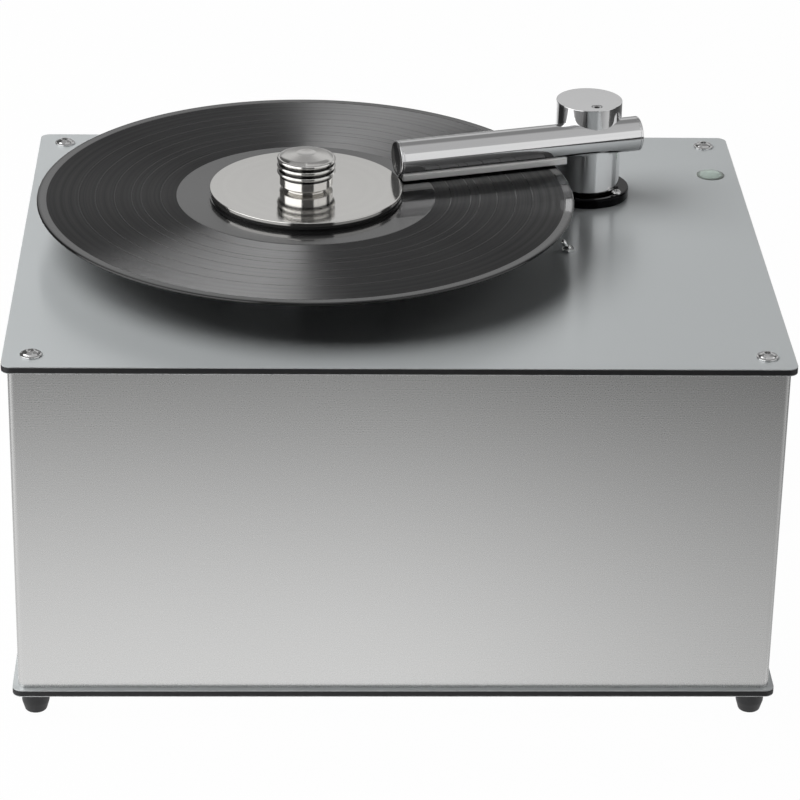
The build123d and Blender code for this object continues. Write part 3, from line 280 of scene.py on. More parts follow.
# ---- Shader nodes --------------------------------------------------------------------------------
def maths(operation, reflected=False):
    """A method that adds one Math node, with its own socket as the first value or, reflected, as the last."""

    def method(self, *values):
        return self.math(operation, *((*values, self) if reflected else (self, *values)))

    return method


class Socket:
    """A node's output that Python's arithmetic works on; each operator adds one Math node."""

    __add__ = maths("ADD")
    __radd__ = maths("ADD", reflected=True)
    __sub__ = maths("SUBTRACT")
    __rsub__ = maths("SUBTRACT", reflected=True)
    __mul__ = maths("MULTIPLY")
    __rmul__ = maths("MULTIPLY", reflected=True)
    __truediv__ = maths("DIVIDE")
    __rtruediv__ = maths("DIVIDE", reflected=True)
    __pow__ = maths("POWER")
    __rpow__ = maths("POWER", reflected=True)
    __lt__ = maths("LESS_THAN")
    __gt__ = maths("GREATER_THAN")
    __abs__ = maths("ABSOLUTE")
    max = maths("MAXIMUM")
    min = maths("MINIMUM")
    wave = maths("SINE")

    def __init__(self, tree, socket):
        self.tree = tree
        self.socket = socket

    def other(self, name):
        """Another output of the same node."""
        return Socket(self.tree, self.socket.node.outputs[name])

    def math(self, operation, *values):
        """Adds a Math node that works on these values in their order."""
        return self.tree.add("ShaderNodeMath", {"operation": operation}, dict(enumerate(values)))

    def ramp(self, low, high, start=0.0, end=1.0):
        """A smooth step: start below low, end above high."""
        settings = {"interpolation_type": "SMOOTHSTEP"}
        values = {"Value": self, "From Min": low, "From Max": high, "To Min": start, "To Max": end}
        return self.tree.add("ShaderNodeMapRange", settings, values)


class Tree:
    """The nodes of one material or of the world."""

    def __init__(self, owner):
        owner.use_nodes = True
        self.owner = owner
        self.nodes = owner.node_tree.nodes
        self.links = owner.node_tree.links
        self.nodes.clear()

    def add(self, kind, settings=None, values=None, output=0):
        """Adds a node of a kind, with its settings and its sockets' values or links, and gives one output."""
        node = self.nodes.new(kind)
        for key, setting in (settings or {}).items():
            setattr(node, key, setting)
        for key, value in (values or {}).items():
            socket = node.inputs[key]
            if isinstance(value, Socket):
                self.links.new(value.socket, socket)
            elif socket.type == "RGBA":
                socket.default_value = (*tuple(value)[:3], 1.0)
            else:
                socket.default_value = value
        return Socket(self, node.outputs[output]) if len(node.outputs) else node

    def place(self, centre=(0, 0, 0), turn=0.0, scale=(1, 1, 1)):
        """Object coordinates with centre as their origin, turned about the upright and divided by scale."""
        coords = self.add("ShaderNodeTexCoord", {}, {}, "Object")
        values = {"Vector": coords, "Location": tuple(centre), "Rotation": (0, 0, turn), "Scale": scale}
        return self.add("ShaderNodeMapping", {"vector_type": "TEXTURE"}, values)

    def parts(self, vector):
        """The three numbers of a vector."""
        x = self.add("ShaderNodeSeparateXYZ", {}, {"Vector": vector}, "X")
        return x, x.other("Y"), x.other("Z")

    def noise(self, vector, scale, detail=2.0, roughness=0.5):
        """Noise about 0.5 over a vector, with scale swells to a metre and detail finer layers on them."""
        values = {"Vector": vector, "Scale": scale, "Detail": detail, "Roughness": roughness}
        return self.add("ShaderNodeTexNoise", {}, values, "Fac")

    def blend(self, factor, low, high):
        """Two colours mixed by a factor; a Mix node's colours are its sockets 6 and 7, and its output 2."""
        return self.add("ShaderNodeMix", {"data_type": "RGBA"}, {0: factor, 6: low, 7: high}, 2)

    def combine(self, x, y, z):
        """A vector from its three numbers."""
        return self.add("ShaderNodeCombineXYZ", {}, {"X": x, "Y": y, "Z": z})

    def bump(self, height, distance, strength):
        """The normal, tilted as if the surface rose by height times distance; strength 0 leaves it alone."""
        values = {"Height": height, "Distance": distance, "Strength": strength}
        return self.add("ShaderNodeBump", {}, values, "Normal")

    def surface(self, shader):
        """Ends the material, or the world, with this shader."""
        part = "World" if isinstance(self.owner, bpy.types.World) else "Material"
        self.add("ShaderNodeOutput" + part, {}, {"Surface": shader})
        return self.owner

    def gloss(self, **values):
        """Ends the material with the standard shader; words in socket names are joined with underscores."""
        named = {key.replace("_", " "): value for key, value in values.items()}
        return self.surface(self.add("ShaderNodeBsdfPrincipled", {}, named, "BSDF"))


def material(name):
    """The empty node tree of a new material."""
    return Tree(bpy.data.materials.new(name))


def times(factor, colour):
    """A colour made lighter or darker by a factor; no part of it goes above 1."""
    return [min(1.0, factor * c) for c in colour]


def mixed(tree, factor, shader, other):
    """Ends the material with two shaders, mixed by a factor: 0 gives the first and 1 the other."""
    return tree.surface(tree.add("ShaderNodeMixShader", {}, {0: factor, 1: shader, 2: other}))


def emission(tree, strength):
    """White light of a strength, where 1 is white."""
    return tree.add("ShaderNodeEmission", {}, {"Color": (1, 1, 1), "Strength": strength})


# ---- Finishes ------------------------------------------------------------------------------------
def composite_sheet(name, node, looks):
    """Two satin metal skins on a black core, which shows as a dark line along the sheet's edge.
    The cut edges are whitened, partly for the bare metal of the cut and partly as a painted highlight.
    """
    low, high = box(node)
    middle = (low[2] + high[2]) / 2
    half = (high[2] - low[2]) / 2
    tree = material(name)
    spot = tree.place()
    x, y, z = tree.parts(spot)
    away = abs(z - middle)
    core = away < half - looks.skin
    rim = (abs(x) - high[0]).max(abs(y) - high[1]) > -0.1 * MM
    grain = tree.noise(spot, 1500, 3, 0.6)
    cloud = tree.noise(spot, 7, 2)
    tint = tree.blend(cloud, times(0.985, looks.deck_colour), times(1.015, looks.deck_colour))
    tint = tree.blend(grain.ramp(0.35, 0.65, 0.0, 0.07), tint, (1, 1, 1))
    # Painted highlight: the skins are whitened along the cut edges, partly for the bare metal of the cut.
    tint = tree.blend(rim * looks.painted_edge_highlight, tint, (1, 1, 1))
    core_tint = tree.blend(tree.noise(spot, 600, 2), (0.006, 0.006, 0.007), (0.016, 0.016, 0.018))
    colour = tree.blend(core, tint, core_tint)
    rough = (cloud * 0.03 + grain * 0.05 + looks.deck_roughness - 0.04) * (1 - core) + core * 0.5
    metal = (1 - core) * looks.deck_metal
    return tree.gloss(Base_Color=colour, Metallic=metal, Roughness=rough, Anisotropic=looks.deck_fan,
                      Anisotropic_Rotation=QUARTER_TURN, Normal=tree.bump(grain, 0.002 * MM, 0.3))


def rolled_sheet(name, colour, roughness):
    """Rolled sheet metal: a fine even grain, faint lines from the rolls and soft clouds in its sheen."""
    tree = material(name)
    spot = tree.place()
    grain = tree.noise(spot, 1400, 3, 0.7)
    drawn = tree.noise(tree.place(scale=(60, 60, 1)), 1500, 2, 0.6)
    cloud = tree.noise(spot, 5, 2)
    tint = tree.blend(cloud, times(0.98, colour), times(1.02, colour))
    tint = tree.blend(grain.ramp(0.3, 0.7, 0.0, 0.12), tint, times(0.82, colour))
    rough = roughness + grain * 0.08 + drawn * 0.05 + cloud * 0.03 - 0.08
    bumps = tree.bump(grain + drawn * 0.25, 0.002 * MM, 0.35)
    return tree.gloss(Base_Color=tint, Metallic=1.0, Roughness=rough, Normal=bumps)


def vinyl(centre, looks):
    """Pressed vinyl: grooves that fan the light out, and smooth bands between the tracks and beside them."""
    tree = material("pressed_vinyl")
    x, y, z = tree.parts(tree.place(centre))
    r = (x * x + y * y) ** 0.5
    starts = r.ramp(looks.run_out - 0.2 * MM, looks.run_out + 0.2 * MM)
    groove = starts * r.ramp(looks.lead_in - 0.3 * MM, looks.lead_in + 0.3 * MM, 1.0, 0.0)
    plain = 1 - groove
    bands = 0 * r
    for radius in looks.bands:
        bands = bands + abs(r - radius).ramp(looks.band_width / 4, looks.band_width / 2, 1.0, 0.0)
    smooth = (plain + bands).min(1.0)
    fine = tree.noise(tree.combine(r, 0, 0), 5200, 1, 0.5)
    broad = tree.noise(tree.combine(r, 0, 0), 420, 3, 0.7)
    dust = tree.noise(tree.place(centre), 2600, 1).ramp(0.74, 0.8)
    label = r < looks.label_edge
    streaks = broad.ramp(0.3, 0.7, -0.5, 0.5)
    rough = (looks.groove_roughness + streaks * 0.2 + fine * 0.06) * (1 - smooth) + smooth * 0.16
    rough = rough * (1 - label) + label * 0.34
    rim = radius_of("record")
    lip = r.ramp(rim - 2.2 * MM, rim - 0.8 * MM, 1.0, 0.25)
    upper = z > sum(levels("record")) / 2
    coat = looks.groove_coat + bands * 0.3 + plain * (looks.smooth_coat * lip - looks.groove_coat)
    tint = tree.blend(broad, (0.003, 0.003, 0.0033), (0.007, 0.007, 0.0075))
    tint = tree.blend(dust * 0.05, tint, (0.5, 0.5, 0.5))
    bumps = tree.bump((fine * 0.6 + broad * 0.4) * (1 - smooth), 0.006 * MM, 0.35)
    return tree.gloss(Base_Color=tint, Roughness=rough, IOR=1.5, Coat_Weight=coat * upper,
                      Coat_Roughness=0.02, Coat_IOR=1.5, Anisotropic=looks.groove_fan,
                      Anisotropic_Rotation=QUARTER_TURN, Normal=bumps)


def turned_metal(name, centre, colour, roughness, fan=0.0, lines=2600, mark=0.3, sunk=None):
    """Metal from the lathe: rings of fine tool marks about its axis, as sheen that changes with the radius.

    Fan is how far the marks spread the sheen, lines their scale and mark their depth. Sunk gives, from the
    radius and the height, where shade is painted into the colour: the metal there is darkened in place of
    shade.
    """
    tree = material(name)
    x, y, z = tree.parts(tree.place(centre))
    r = (x * x + y * y) ** 0.5
    along = tree.combine(r, 0, z)
    marks = tree.noise(along, lines, 2, 0.6)
    broad = tree.noise(along, lines / 9, 2, 0.6)
    wear = tree.noise(tree.place(centre), 60, 3)
    tint = tree.blend(broad, times(0.94, colour), times(1.05, colour))
    # Painted shade: where the mask says, the colour is darkened in place of the shade that falls there.
    if sunk:
        tint = tree.blend(sunk(r, z), tint, times(0.08, colour))
    rough = roughness + marks * 0.06 + wear.ramp(0.45, 0.7) * 0.02 - 0.03
    bumps = tree.bump(marks + broad, 0.002 * MM, mark)
    return tree.gloss(Base_Color=tint, Metallic=1.0, Roughness=rough, Anisotropic=fan,
                      Anisotropic_Rotation=QUARTER_TURN, Normal=bumps)


def drawn_metal(name, centre, heading, colour, roughness, streak=0.5):
    """Polished tube or bar: streaks along it, as a lengthwise belt leaves them; streak is their depth."""
    tree = material(name)
    spot = tree.place(centre, heading, (60, 1, 1))
    streaks = tree.noise(spot, 900, 3, 0.65)
    broad = tree.noise(spot, 160, 2, 0.6)
    specks = tree.noise(tree.place(centre), 1500, 1)
    tint = tree.blend(broad.ramp(0.3, 0.7), times(0.93, colour), colour)
    rough = roughness + streaks * 0.05 + broad.ramp(0.4, 0.7) * 0.03 + specks.ramp(0.7, 0.8) * 0.08 - 0.03
    bumps = tree.bump(streaks + broad * 1.5, 0.004 * MM, streak)
    return tree.gloss(Base_Color=tint, Metallic=1.0, Roughness=rough, Normal=bumps)


def plated_metal(name, colour, roughness, scale=500):
    """Cast, plated or machined metal that is left plain: small dents and soft patches in its sheen."""
    tree = material(name)
    spot = tree.place()
    fine = tree.noise(spot, scale, 3, 0.6)
    patch = tree.noise(spot, scale / 14, 2)
    tint = tree.blend(patch, times(0.9, colour), times(1.08, colour))
    rough = roughness + fine * 0.12 + patch * 0.08 - 0.1
    return tree.gloss(Base_Color=tint, Metallic=1.0, Roughness=rough, Normal=tree.bump(fine, 0.01 * MM, 0.5))


def moulded(name, colour, roughness, grain=900, worn=0.6):
    """Moulded plastic, rubber or powder coat: a fine texture, slightly paler in patches where it is worn."""
    tree = material(name)
    spot = tree.place()
    texture = tree.noise(spot, grain, 3, 0.65)
    cloud = tree.noise(spot, grain / 20, 2)
    rubbed = [min(1.0, c * 1.25 + 0.01) for c in colour]
    tint = tree.blend(cloud.ramp(0.35, 0.7) * worn + texture.ramp(0.55, 0.75) * 0.25, colour, rubbed)
    rough = roughness + texture * 0.1 + cloud * 0.06 - 0.08
    return tree.gloss(Base_Color=tint, Roughness=rough, Normal=tree.bump(texture, 0.03 * MM, 0.5))


def pile(name, colour, length, scale):
    """Velvet or felt: short fibres, lighter at their tips, with a soft sheen at grazing angles."""
    tree = material(name)
    spot = tree.place()
    fibres = tree.noise(spot, scale, 4, 0.75)
    nap = tree.noise(spot, scale / 12, 2)
    tint = tree.blend(fibres.ramp(0.35, 0.7), times(0.6, colour), times(1.5, colour))
    tint = tree.blend(nap * 0.3, tint, times(1.3, colour))
    return tree.gloss(Base_Color=tint, Roughness=0.9, Sheen_Weight=0.7, Sheen_Roughness=0.35,
                      Specular_IOR_Level=0.2, Normal=tree.bump(fibres + nap, length, 0.8))


def clear_lens(colour):
    """Clear acrylic with the faint green of its own body and a few polishing hairlines."""
    tree = material("clear_acrylic")
    spot = tree.place()
    hair = tree.noise(tree.place(scale=(1, 30, 1)), 900, 2)
    tint = tree.blend(tree.noise(spot, 90, 2), times(0.92, colour), colour)
    rough = 0.05 + hair.ramp(0.6, 0.75) * 0.08
    return tree.gloss(Base_Color=tint, Roughness=rough, Transmission_Weight=0.65, IOR=1.49,
                      Normal=tree.bump(hair, 0.002 * MM, 0.3))


def laminate_board(node):
    """Green solder mask with paler tracks under it and tinned pads."""
    tree = material("board_mask")
    spot = tree.place(box(node)[0])
    across = tree.parts(spot)[0]
    lane = (across * 900).wave() + (tree.noise(spot, 60, 1) * 14).wave()
    tracks = lane.ramp(0.7, 0.95)
    values = {"Vector": spot, "Scale": 210.0, "Randomness": 0.35}
    pads = tree.add("ShaderNodeTexVoronoi", {}, values, "Distance").ramp(0.16, 0.2, 1.0, 0.0)
    tint = tree.blend(tracks, (0.012, 0.09, 0.035), (0.03, 0.17, 0.07))
    tint = tree.blend(pads, tint, (0.62, 0.62, 0.6))
    return tree.gloss(Base_Color=tint, Metallic=pads * 0.9, Roughness=0.32 - pads * 0.08,
                      Normal=tree.bump(tracks + pads, 0.03 * MM, 0.5))


# ---- Sizes, colours and light --------------------------------------------------------------------
def number(name, description, default, **more):
    """A plain number that a user may change."""
    return FloatProperty(name=name, description=description, default=default, **more)


def length(name, description, default):
    """A length, given here in millimetres."""
    return number(name, description, default * MM, unit="LENGTH", precision=5)


def angle(name, description, default):
    """An angle, given here in degrees."""
    return number(name, description, float(np.radians(default)), unit="ROTATION")


def share(name, description, default):
    """A part of a whole, where 1 is all of it."""
    return number(name, description, default, min=0.0, subtype="FACTOR")


def colour(name, description, default):
    """A linear colour."""
    return FloatVectorProperty(name=name, description=description, default=default, size=3, subtype="COLOR",
                               min=0.0, max=1.0)


class CaseLooks(bpy.types.PropertyGroup):
    """The two plates, the folded wall, the rear panel and the feet."""

    skin: length("Skin", "Metal skin on each side of a plate's core", 0.5)
    plate_edge: length("Plate edge", "Rounding of a plate's edges", 0.25)
    plate_corner: length("Plate corner", "Radius of a plate's corners", 5.5)
    deck_colour: colour("Plate colour", "Satin metal of both plates", (0.70, 0.735, 0.745))
    deck_roughness: share("Plate roughness", "How satin the plates are", 0.25)
    deck_metal: share("Plate metal", "How much of the plates' light is a reflection, not scattered", 0.22)
    deck_fan: share("Plate grain", "How much further light spreads across the brushed grain", 0.75)
    # Painted highlight along the plates' cut edges, partly for the bare metal of the cut.
    painted_edge_highlight: share("Edge shine", "How much brighter the skins' cut edges are", 0.75)
    wall_colour: colour("Wall colour", "Sheet of the folded wall", (0.66, 0.66, 0.655))
    wall_roughness: share("Wall roughness", "How satin the wall is", 0.27)
    wall_gauge: length("Wall gauge", "Thickness of the folded sheet", 3.0)
    wall_bend: length("Wall bend", "Outer radius of the folded corners", 3.4)
    wall_edge: length("Wall edge", "Rounding of the sheet's cut edges", 0.15)
    panel_colour: colour("Panel colour", "Powder coat of the rear panel", (0.022, 0.022, 0.024))
    panel_roughness: share("Panel roughness", "How dull the powder coat is", 0.45)
    foot_radius: length("Foot radius", "Radius of a foot under the base plate", 8.0)
    foot_tip: length("Foot tip", "Radius of a foot where it stands", 5.2)
    foot_hole: length("Foot hole", "Radius of the recess for a foot's screw", 3.8)
    foot_recess: length("Foot recess", "Depth of that recess", 5.0)


class RecordLooks(bpy.types.PropertyGroup):
    """The record's bands, from its rim inwards, and the mat under it."""

    lead_in: length("Lead-in", "Radius where the grooves start", 145.4)
    run_out: length("Run-out", "Radius where the grooves end", 72.8)
    label_edge: length("Label edge", "Radius of the raised middle", 53.6)
    label_rise: length("Label rise", "Height of the middle above the rim band", 0.3)
    groove_drop: length("Groove drop", "How much lower the grooved band lies", 0.12)
    groove_bed: length("Groove bed", "How far the disc is sunk under the grooved band", 0.03)
    groove_sheet: length("Groove sheet", "Thickness of the grooved band, let into the disc", 0.05)
    step: length("Step", "Width of the slope between two bands", 0.5)
    hole: length("Hole", "Radius of the centre hole", 3.6)
    bands: FloatVectorProperty(name="Bands", description="Radii of the smooth bands between the tracks",
                               size=6, default=(0.1277, 0.1182, 0.1075, 0.0979, 0.0927, 0.0816))
    band_width: length("Band width", "Width of a smooth band", 0.55)
    groove_roughness: share("Groove roughness", "Spread of light across the grooves", 0.38)
    groove_fan: share("Groove fan", "How much further light spreads across the grooves than along them", 1.0)
    groove_coat: share("Groove gloss", "Clear reflection from the lands between the grooves", 0.20)
    smooth_coat: share("Smooth gloss", "Clear reflection from the smooth bands", 0.8)
    mat_hole: length("Mat hole", "Radius of the felt mat's hole", 16.0)
    mat_edge: length("Mat edge", "Rounding of the mat's upper edges", 0.6)


class ClampLooks(bpy.types.PropertyGroup):
    """The turned clamp: a thin disc on a rubber ring, and the knob above it."""

    steel: colour("Steel", "Turned stainless steel", (0.70, 0.69, 0.67))
    disc_bore: length("Disc bore", "Radius of the disc's hole", 7.05)
    disc_edge: length("Disc edge", "Rounding of the disc's edges", 0.4)
    seal_hole: length("Seal hole", "Inner radius of the rubber ring", 44.0)
    seal_swell: length("Seal swell", "How far the rubber ring bulges under the disc", 0.25)
    knob_bore: length("Knob bore", "Radius of the knob's hole", 7.04)
    knob_depth: length("Knob depth", "Depth of that hole", 10.5)
    grip: length("Grip", "Radius of the knob's rings", 16.45)
    waist: length("Waist", "Radius of the knob's plain part", 15.0)
    foot: length("Foot", "Radius where the knob meets the disc", 12.4)
    foot_height: length("Foot height", "Height of the narrow foot", 0.3)
    cone_top: length("Cone top", "Level where the cone under the waist ends", 2.2)
    waist_height: length("Waist height", "Level where the rings start", 6.9)
    ring_pitch: length("Ring pitch", "From one ring to the next", 3.65)
    ring_count: IntProperty(name="Rings", description="Number of grip rings", default=3, min=1, max=8)
    groove_height: length("Groove height", "Height of the grooves between the rings", 1.6)
    groove_depth: length("Groove depth", "Depth of those grooves", 1.7)
    # Painted shade: how far in from the rings' faces the darkened colour reaches, in place of the grooves'
    # shade.
    painted_groove_shade: length("Groove shade", "How far under a ring's face the metal is dark", 0.65)
    ring_round: length("Ring rounding", "Rounding of each ring's edges", 1.0)
    dome_rise: length("Dome rise", "Height of the knob's domed top", 2.4)
    dish: length("Dish", "Radius of the small dish in the top", 5.5)
    dish_depth: length("Dish depth", "Depth of that dish", 0.5)


class ArmLooks(bpy.types.PropertyGroup):
    """The tower and the suction arm."""

    heading: angle("Heading", "Direction of the tube", 16.45)
    offset: length("Offset", "Tube axis in front of the tower's axis", 12.0)
    post_metal: colour("Post metal", "Polished aluminium", (0.80, 0.80, 0.805))
    tube_metal: colour("Tube metal", "Polished steel", (0.70, 0.70, 0.705))
    strip_metal: colour("Strip metal", "Satin steel of the suction strip", (0.95, 0.95, 0.94))
    ring_edge: length("Ring edge", "Rounding of the base ring", 1.2)
    ring_hole: length("Ring hole", "Radius of the base ring's hole", 14.45)
    swivel: length("Swivel", "Radius of the swivel tube", 10.8)
    swivel_wall: length("Swivel wall", "Wall of the swivel tube", 1.5)
    collar: length("Collar", "Radius of the swivel tube's collar", 13.2)
    spring_wire: length("Spring wire", "Diameter of the lift spring's wire", 1.2)
    spring_turns: number("Spring turns", "Turns of the lift spring", 3.5)
    lift_play: length("Lift play", "Room under the spring for the arm to settle", 0.4)
    post_bore: length("Post bore", "Radius of the post's bore over the swivel tube", 10.88)
    post_edge: length("Post edge", "Rounding of the post's top", 0.35)
    chamber: length("Chamber", "Radius of the spring's room in the post", 13.6)
    chamber_height: length("Chamber height", "Height of that room", 10.0)
    post_cap: length("Post cap", "Solid top of the post above its bore", 9.5)
    set_screw: length("Set screw", "Radius of the set screw in the post", 3.0)
    set_screw_hole: length("Set screw hole", "Radius of its hole", 3.05)
    set_screw_room: length("Set screw room", "Depth of that hole", 6.0)
    tube_wall: length("Tube wall", "Wall of the tube", 1.5)
    tube_edge: length("Tube edge", "Rounding of the tube's ends", 0.2)
    cap_lip: length("Cap lip", "Width of the lip around an end cap's dish", 1.1)
    cap_dish: length("Cap dish", "Depth of that dish", 0.9)
    cap_bowl: number("Cap bowl", "How flat the dish's middle is", 2.6)
    cap_edge: length("Cap edge", "Rounding of the lip", 0.45)
    cap_plug: length("Cap plug", "Length of a cap's plug in the tube", 8.0)
    cap_play: length("Cap play", "Room around that plug", 0.05)
    cap_flange: length("Cap flange", "Thickness of a cap's flange", 1.5)
    strip_edge: length("Strip edge", "Rounding and bevel of the strip's edges", 0.25)
    line: length("Line", "Width and depth of the line along the strip", 0.5)
    line_level: length("Line level", "That line above the strip's underside", 3.1)
    slot_half: length("Slot half", "Half the width of the suction slot", 1.5)
    slot_depth: length("Slot depth", "Depth of the slot that shows", 2.2)
    pad_gap: length("Pad gap", "From the slot to a velvet pad", 0.5)
    pile: length("Pile", "Uneven height of the velvet", 0.12)


class SmallLooks(bpy.types.PropertyGroup):
    """Screws, the toggle switch and the lens."""

    button_flange: length("Button flange", "Radius of the plate screws' heads", 5.85)
    button_shank: length("Button shank", "Radius of their thread", 2.5)
    button_key: length("Button key", "Flats of their key", 3.1)
    button_key_depth: length("Button key depth", "Depth of that key", 2.0)
    pan_radius: length("Pan radius", "Radius of the base ring's screw heads", 2.8)
    pan_shank: length("Pan shank", "Radius of their thread", 1.5)
    pan_share: share("Pan height", "A pan head's height, of its radius", 0.6)
    pan_circle: length("Pan circle", "Radius of the circle that they stand on", 21.6)
    pan_start: angle("Pan start", "Direction of the first of them", -39.0)
    cross_reach: share("Cross reach", "A cross recess's reach, of the head's radius", 0.62)
    cross_width: share("Cross width", "Half the width of its arms, of the head's radius", 0.14)
    set_key: length("Set screw key", "Flats of the set screw in the post", 3.0)
    nickel: colour("Nickel", "Plating of the toggle switch", (0.66, 0.67, 0.67))
    nut_flats: length("Nut flats", "Across the toggle's nut", 7.0)
    nut_hole: length("Nut hole", "Radius of its hole", 2.95)
    thread_pitch: length("Thread pitch", "Pitch of the toggle's bushing", 0.55)
    lever_pivot: length("Lever pivot", "Height of the lever's pivot above the deck", 1.3)
    lever_tilt: angle("Lever tilt", "Lean of the lever to the left", 36.0)
    lever_length: length("Lever length", "From its pivot to its tip", 6.4)
    lever_root: length("Lever root", "Radius of the lever at its pivot", 0.95)
    lever_tip: length("Lever tip", "Radius of the lever's tip", 1.5)
    lever_ball: length("Lever ball", "Radius of the ball that it turns on", 2.2)
    lens_colour: colour("Lens colour", "Clear acrylic with a faint green", (0.78, 0.88, 0.80))
    lens_stem: length("Lens stem", "Radius of the lens's stem", 6.4)
    lens_flange: length("Lens flange", "Thickness of its flange", 0.7)
    lens_edge: length("Lens edge", "Width of the flange's slope", 0.9)


class StudioLooks(bpy.types.PropertyGroup):
    """Camera, lamps, floor and reflecting cards."""

    focal: number("Focal length", "In millimetres, on a sensor 36 mm wide", 151.05)
    eye: FloatVectorProperty(name="Eye", description="Camera's place", size=3, subtype="TRANSLATION",
                             default=(-0.06264, -1.74315, 0.95477))
    pitch: angle("Pitch", "Look down", 25.74)
    yaw: angle("Yaw", "Look to the right", 2.26)
    roll: angle("Roll", "Turn of the picture", 1.15)
    room: share("Room light", "Even light from all round", 0.02)
    top_lamp: number("Top lamp", "Brightness of the lamp overhead", 3.45)
    left_lamp: number("Left lamp", "Brightness of the left lamp", 0.5)
    right_lamp: number("Right lamp", "Brightness of the right lamp", 1.6)
    left_panel: number("Left panel", "Brightness of the panel at the left", 2.2)
    right_panel: number("Right panel", "Brightness of the panel at the right", 1.0)
    left_ceiling: number("Left ceiling", "Brightness of the panel above left", 10.5)
    groove_backdrop: number("Groove backdrop", "Brightness of what the grooves see behind", 0.31)
    floor_white: share("Floor white", "How much of the floor's white is its own light", 0.985)


GROUPS = {"case_looks": CaseLooks, "record_looks": RecordLooks, "clamp_looks": ClampLooks,
          "arm_looks": ArmLooks, "small_looks": SmallLooks, "studio_looks": StudioLooks}


# ---- Case ----------------------------------------------------------------------------------------
class CLEANER_OT_plates(bpy.types.Operator):
    """Cut the deck and the base plate, with their satin skins on a black core and lightly broken edges"""

    bl_idname = "cleaner.plates"
    bl_label = "Plates"

    def execute(self, context):
        looks = context.scene.case_looks
        for name, node in (("deck_sheet", "top_plate"), ("base_sheet", "base_plate")):
            low, high = box(node)
            edge, inset = looks.plate_edge, 2 * MM
            profile = outline([(inset, low[2]), (0, low[2], edge), (0, high[2], edge), (inset, high[2])])
            shell = plate(high[0], high[1], looks.plate_corner, profile)
            finish = composite_sheet(name, node, looks)
            brush_sideways(piece(name, "case", [shell], finish, [node]))
        return {"FINISHED"}


class CLEANER_OT_wall(bpy.types.Operator):
    """Fold the front and side wall from one sheet, with true round bends"""

    bl_idname = "cleaner.wall"
    bl_label = "Folded wall"

    def execute(self, context):
        looks = context.scene.case_looks
        low, high = box("case_wall")
        bend, gauge, edge = looks.wall_bend, looks.wall_gauge, looks.wall_edge
        route = outline([(low[0], high[1]), (low[0], low[1], bend), (high[0], low[1], bend),
                         (high[0], high[1])], steps=16)
        steps = np.diff(route, axis=0)
        steps /= np.linalg.norm(steps, axis=1, keepdims=True)
        ahead = np.vstack([steps[:1], steps[1:] + steps[:-1], steps[-1:]])
        ahead /= np.linalg.norm(ahead, axis=1, keepdims=True)
        inward = np.stack([-ahead[:, 1], ahead[:, 0], 0 * ahead[:, 0]], axis=1)
        places = np.column_stack([route, 0 * route[:, 0]])
        section = outline([(0, low[2], edge), (0, high[2], edge), (gauge, high[2], edge),
                           (gauge, low[2], edge)], closed=True, steps=3)
        finish = rolled_sheet("wall_sheet", looks.wall_colour, looks.wall_roughness)
        piece("folded_wall", "case", [carried(section, places, inward)], finish, ["case_wall"])
        return {"FINISHED"}


class CLEANER_OT_rear(bpy.types.Operator):
    """Finish the rear panel, its mains inlet and rocker, and the drain plug"""

    bl_idname = "cleaner.rear"
    bl_label = "Rear panel"

    def execute(self, context):
        looks = context.scene.case_looks
        dress(moulded("panel_sheet", looks.panel_colour, looks.panel_roughness, 1500, worn=0.1), "rear_panel")
        dress(moulded("inlet_plastic", (0.016, 0.016, 0.017), 0.42), "power_inlet", "rocker_frame")
        dress(moulded("rocker_plastic", (0.02, 0.02, 0.021), 0.3, 600), "power_rocker")
        dress(moulded("plug_plastic", (0.02, 0.02, 0.021), 0.38), "drain_plug")
        return {"FINISHED"}


class CLEANER_OT_feet(bpy.types.Operator):
    """Mould the four rubber feet: round, a little narrower where they stand, with a recess for the screw"""

    bl_idname = "cleaner.feet"
    bl_label = "Feet"

    def execute(self, context):
        looks = context.scene.case_looks
        high = box("feet")[1]
        radius, tip, hole, top = looks.foot_radius, looks.foot_tip, looks.foot_hole, high[2]
        profile = outline([(0, looks.foot_recess), (hole, looks.foot_recess), (hole, 0, 0.4 * MM),
                           (tip + 0.6 * MM, 0, 1.4 * MM), (radius - 0.5 * MM, top * 0.42, 4 * MM),
                           (radius, top, 0.5 * MM), (0, top)])
        shells = [turned(profile, place, 64) for place in corners_of("feet", radius, 0)]
        rubber = moulded("foot_rubber", (0.022, 0.022, 0.024), 0.55, 1200)
        piece("rubber_feet", "case", shells, rubber, ["feet"])
        return {"FINISHED"}


# ---- Screws --------------------------------------------------------------------------------------
def button_screw(looks, height, shank_length):
    """Rows of a button screw: shank, round flange, domed head and a six-sided key sunk into it."""
    key, flange, shank = looks.button_key, looks.button_flange, looks.button_shank
    head = outline([(shank, 0), (flange, 0, 0.15 * MM), (flange, 0.15 * flange, 0.3 * MM),
                    (flange * 0.84, 0.19 * flange, 0.5 * MM), (flange * 0.72, height * 0.72, 1.4 * MM),
                    (flange * 0.4, height, 0.9 * MM), (key * 0.6, height)])
    floor = height - looks.button_key_depth
    rows = [(0.0, -shank_length), (shank, -shank_length), *head,
            (hexagon(key), height - 0.12 * MM), (hexagon(key), floor), (0.0, floor - 0.5 * MM)]
    return shaped(rows)


def pan_screw(looks, shank_length):
    """Rows of a pan screw: shank, low domed head and a cross recess."""
    radius, shank = looks.pan_radius, looks.pan_shank
    height = radius * looks.pan_share
    head = outline([(shank, 0), (radius, 0, 0.1 * MM), (radius, height * 0.45, radius * 0.2),
                    (radius * 0.72, height, radius * 0.4), (radius * 0.66, height)])
    recess = cross(radius * looks.cross_reach, radius * looks.cross_width)
    rows = [(0.0, -shank_length), (shank, -shank_length), *head,
            (recess, height - 0.02 * MM), (recess, height * 0.4), (0.0, height * 0.3)]
    return shaped(rows)


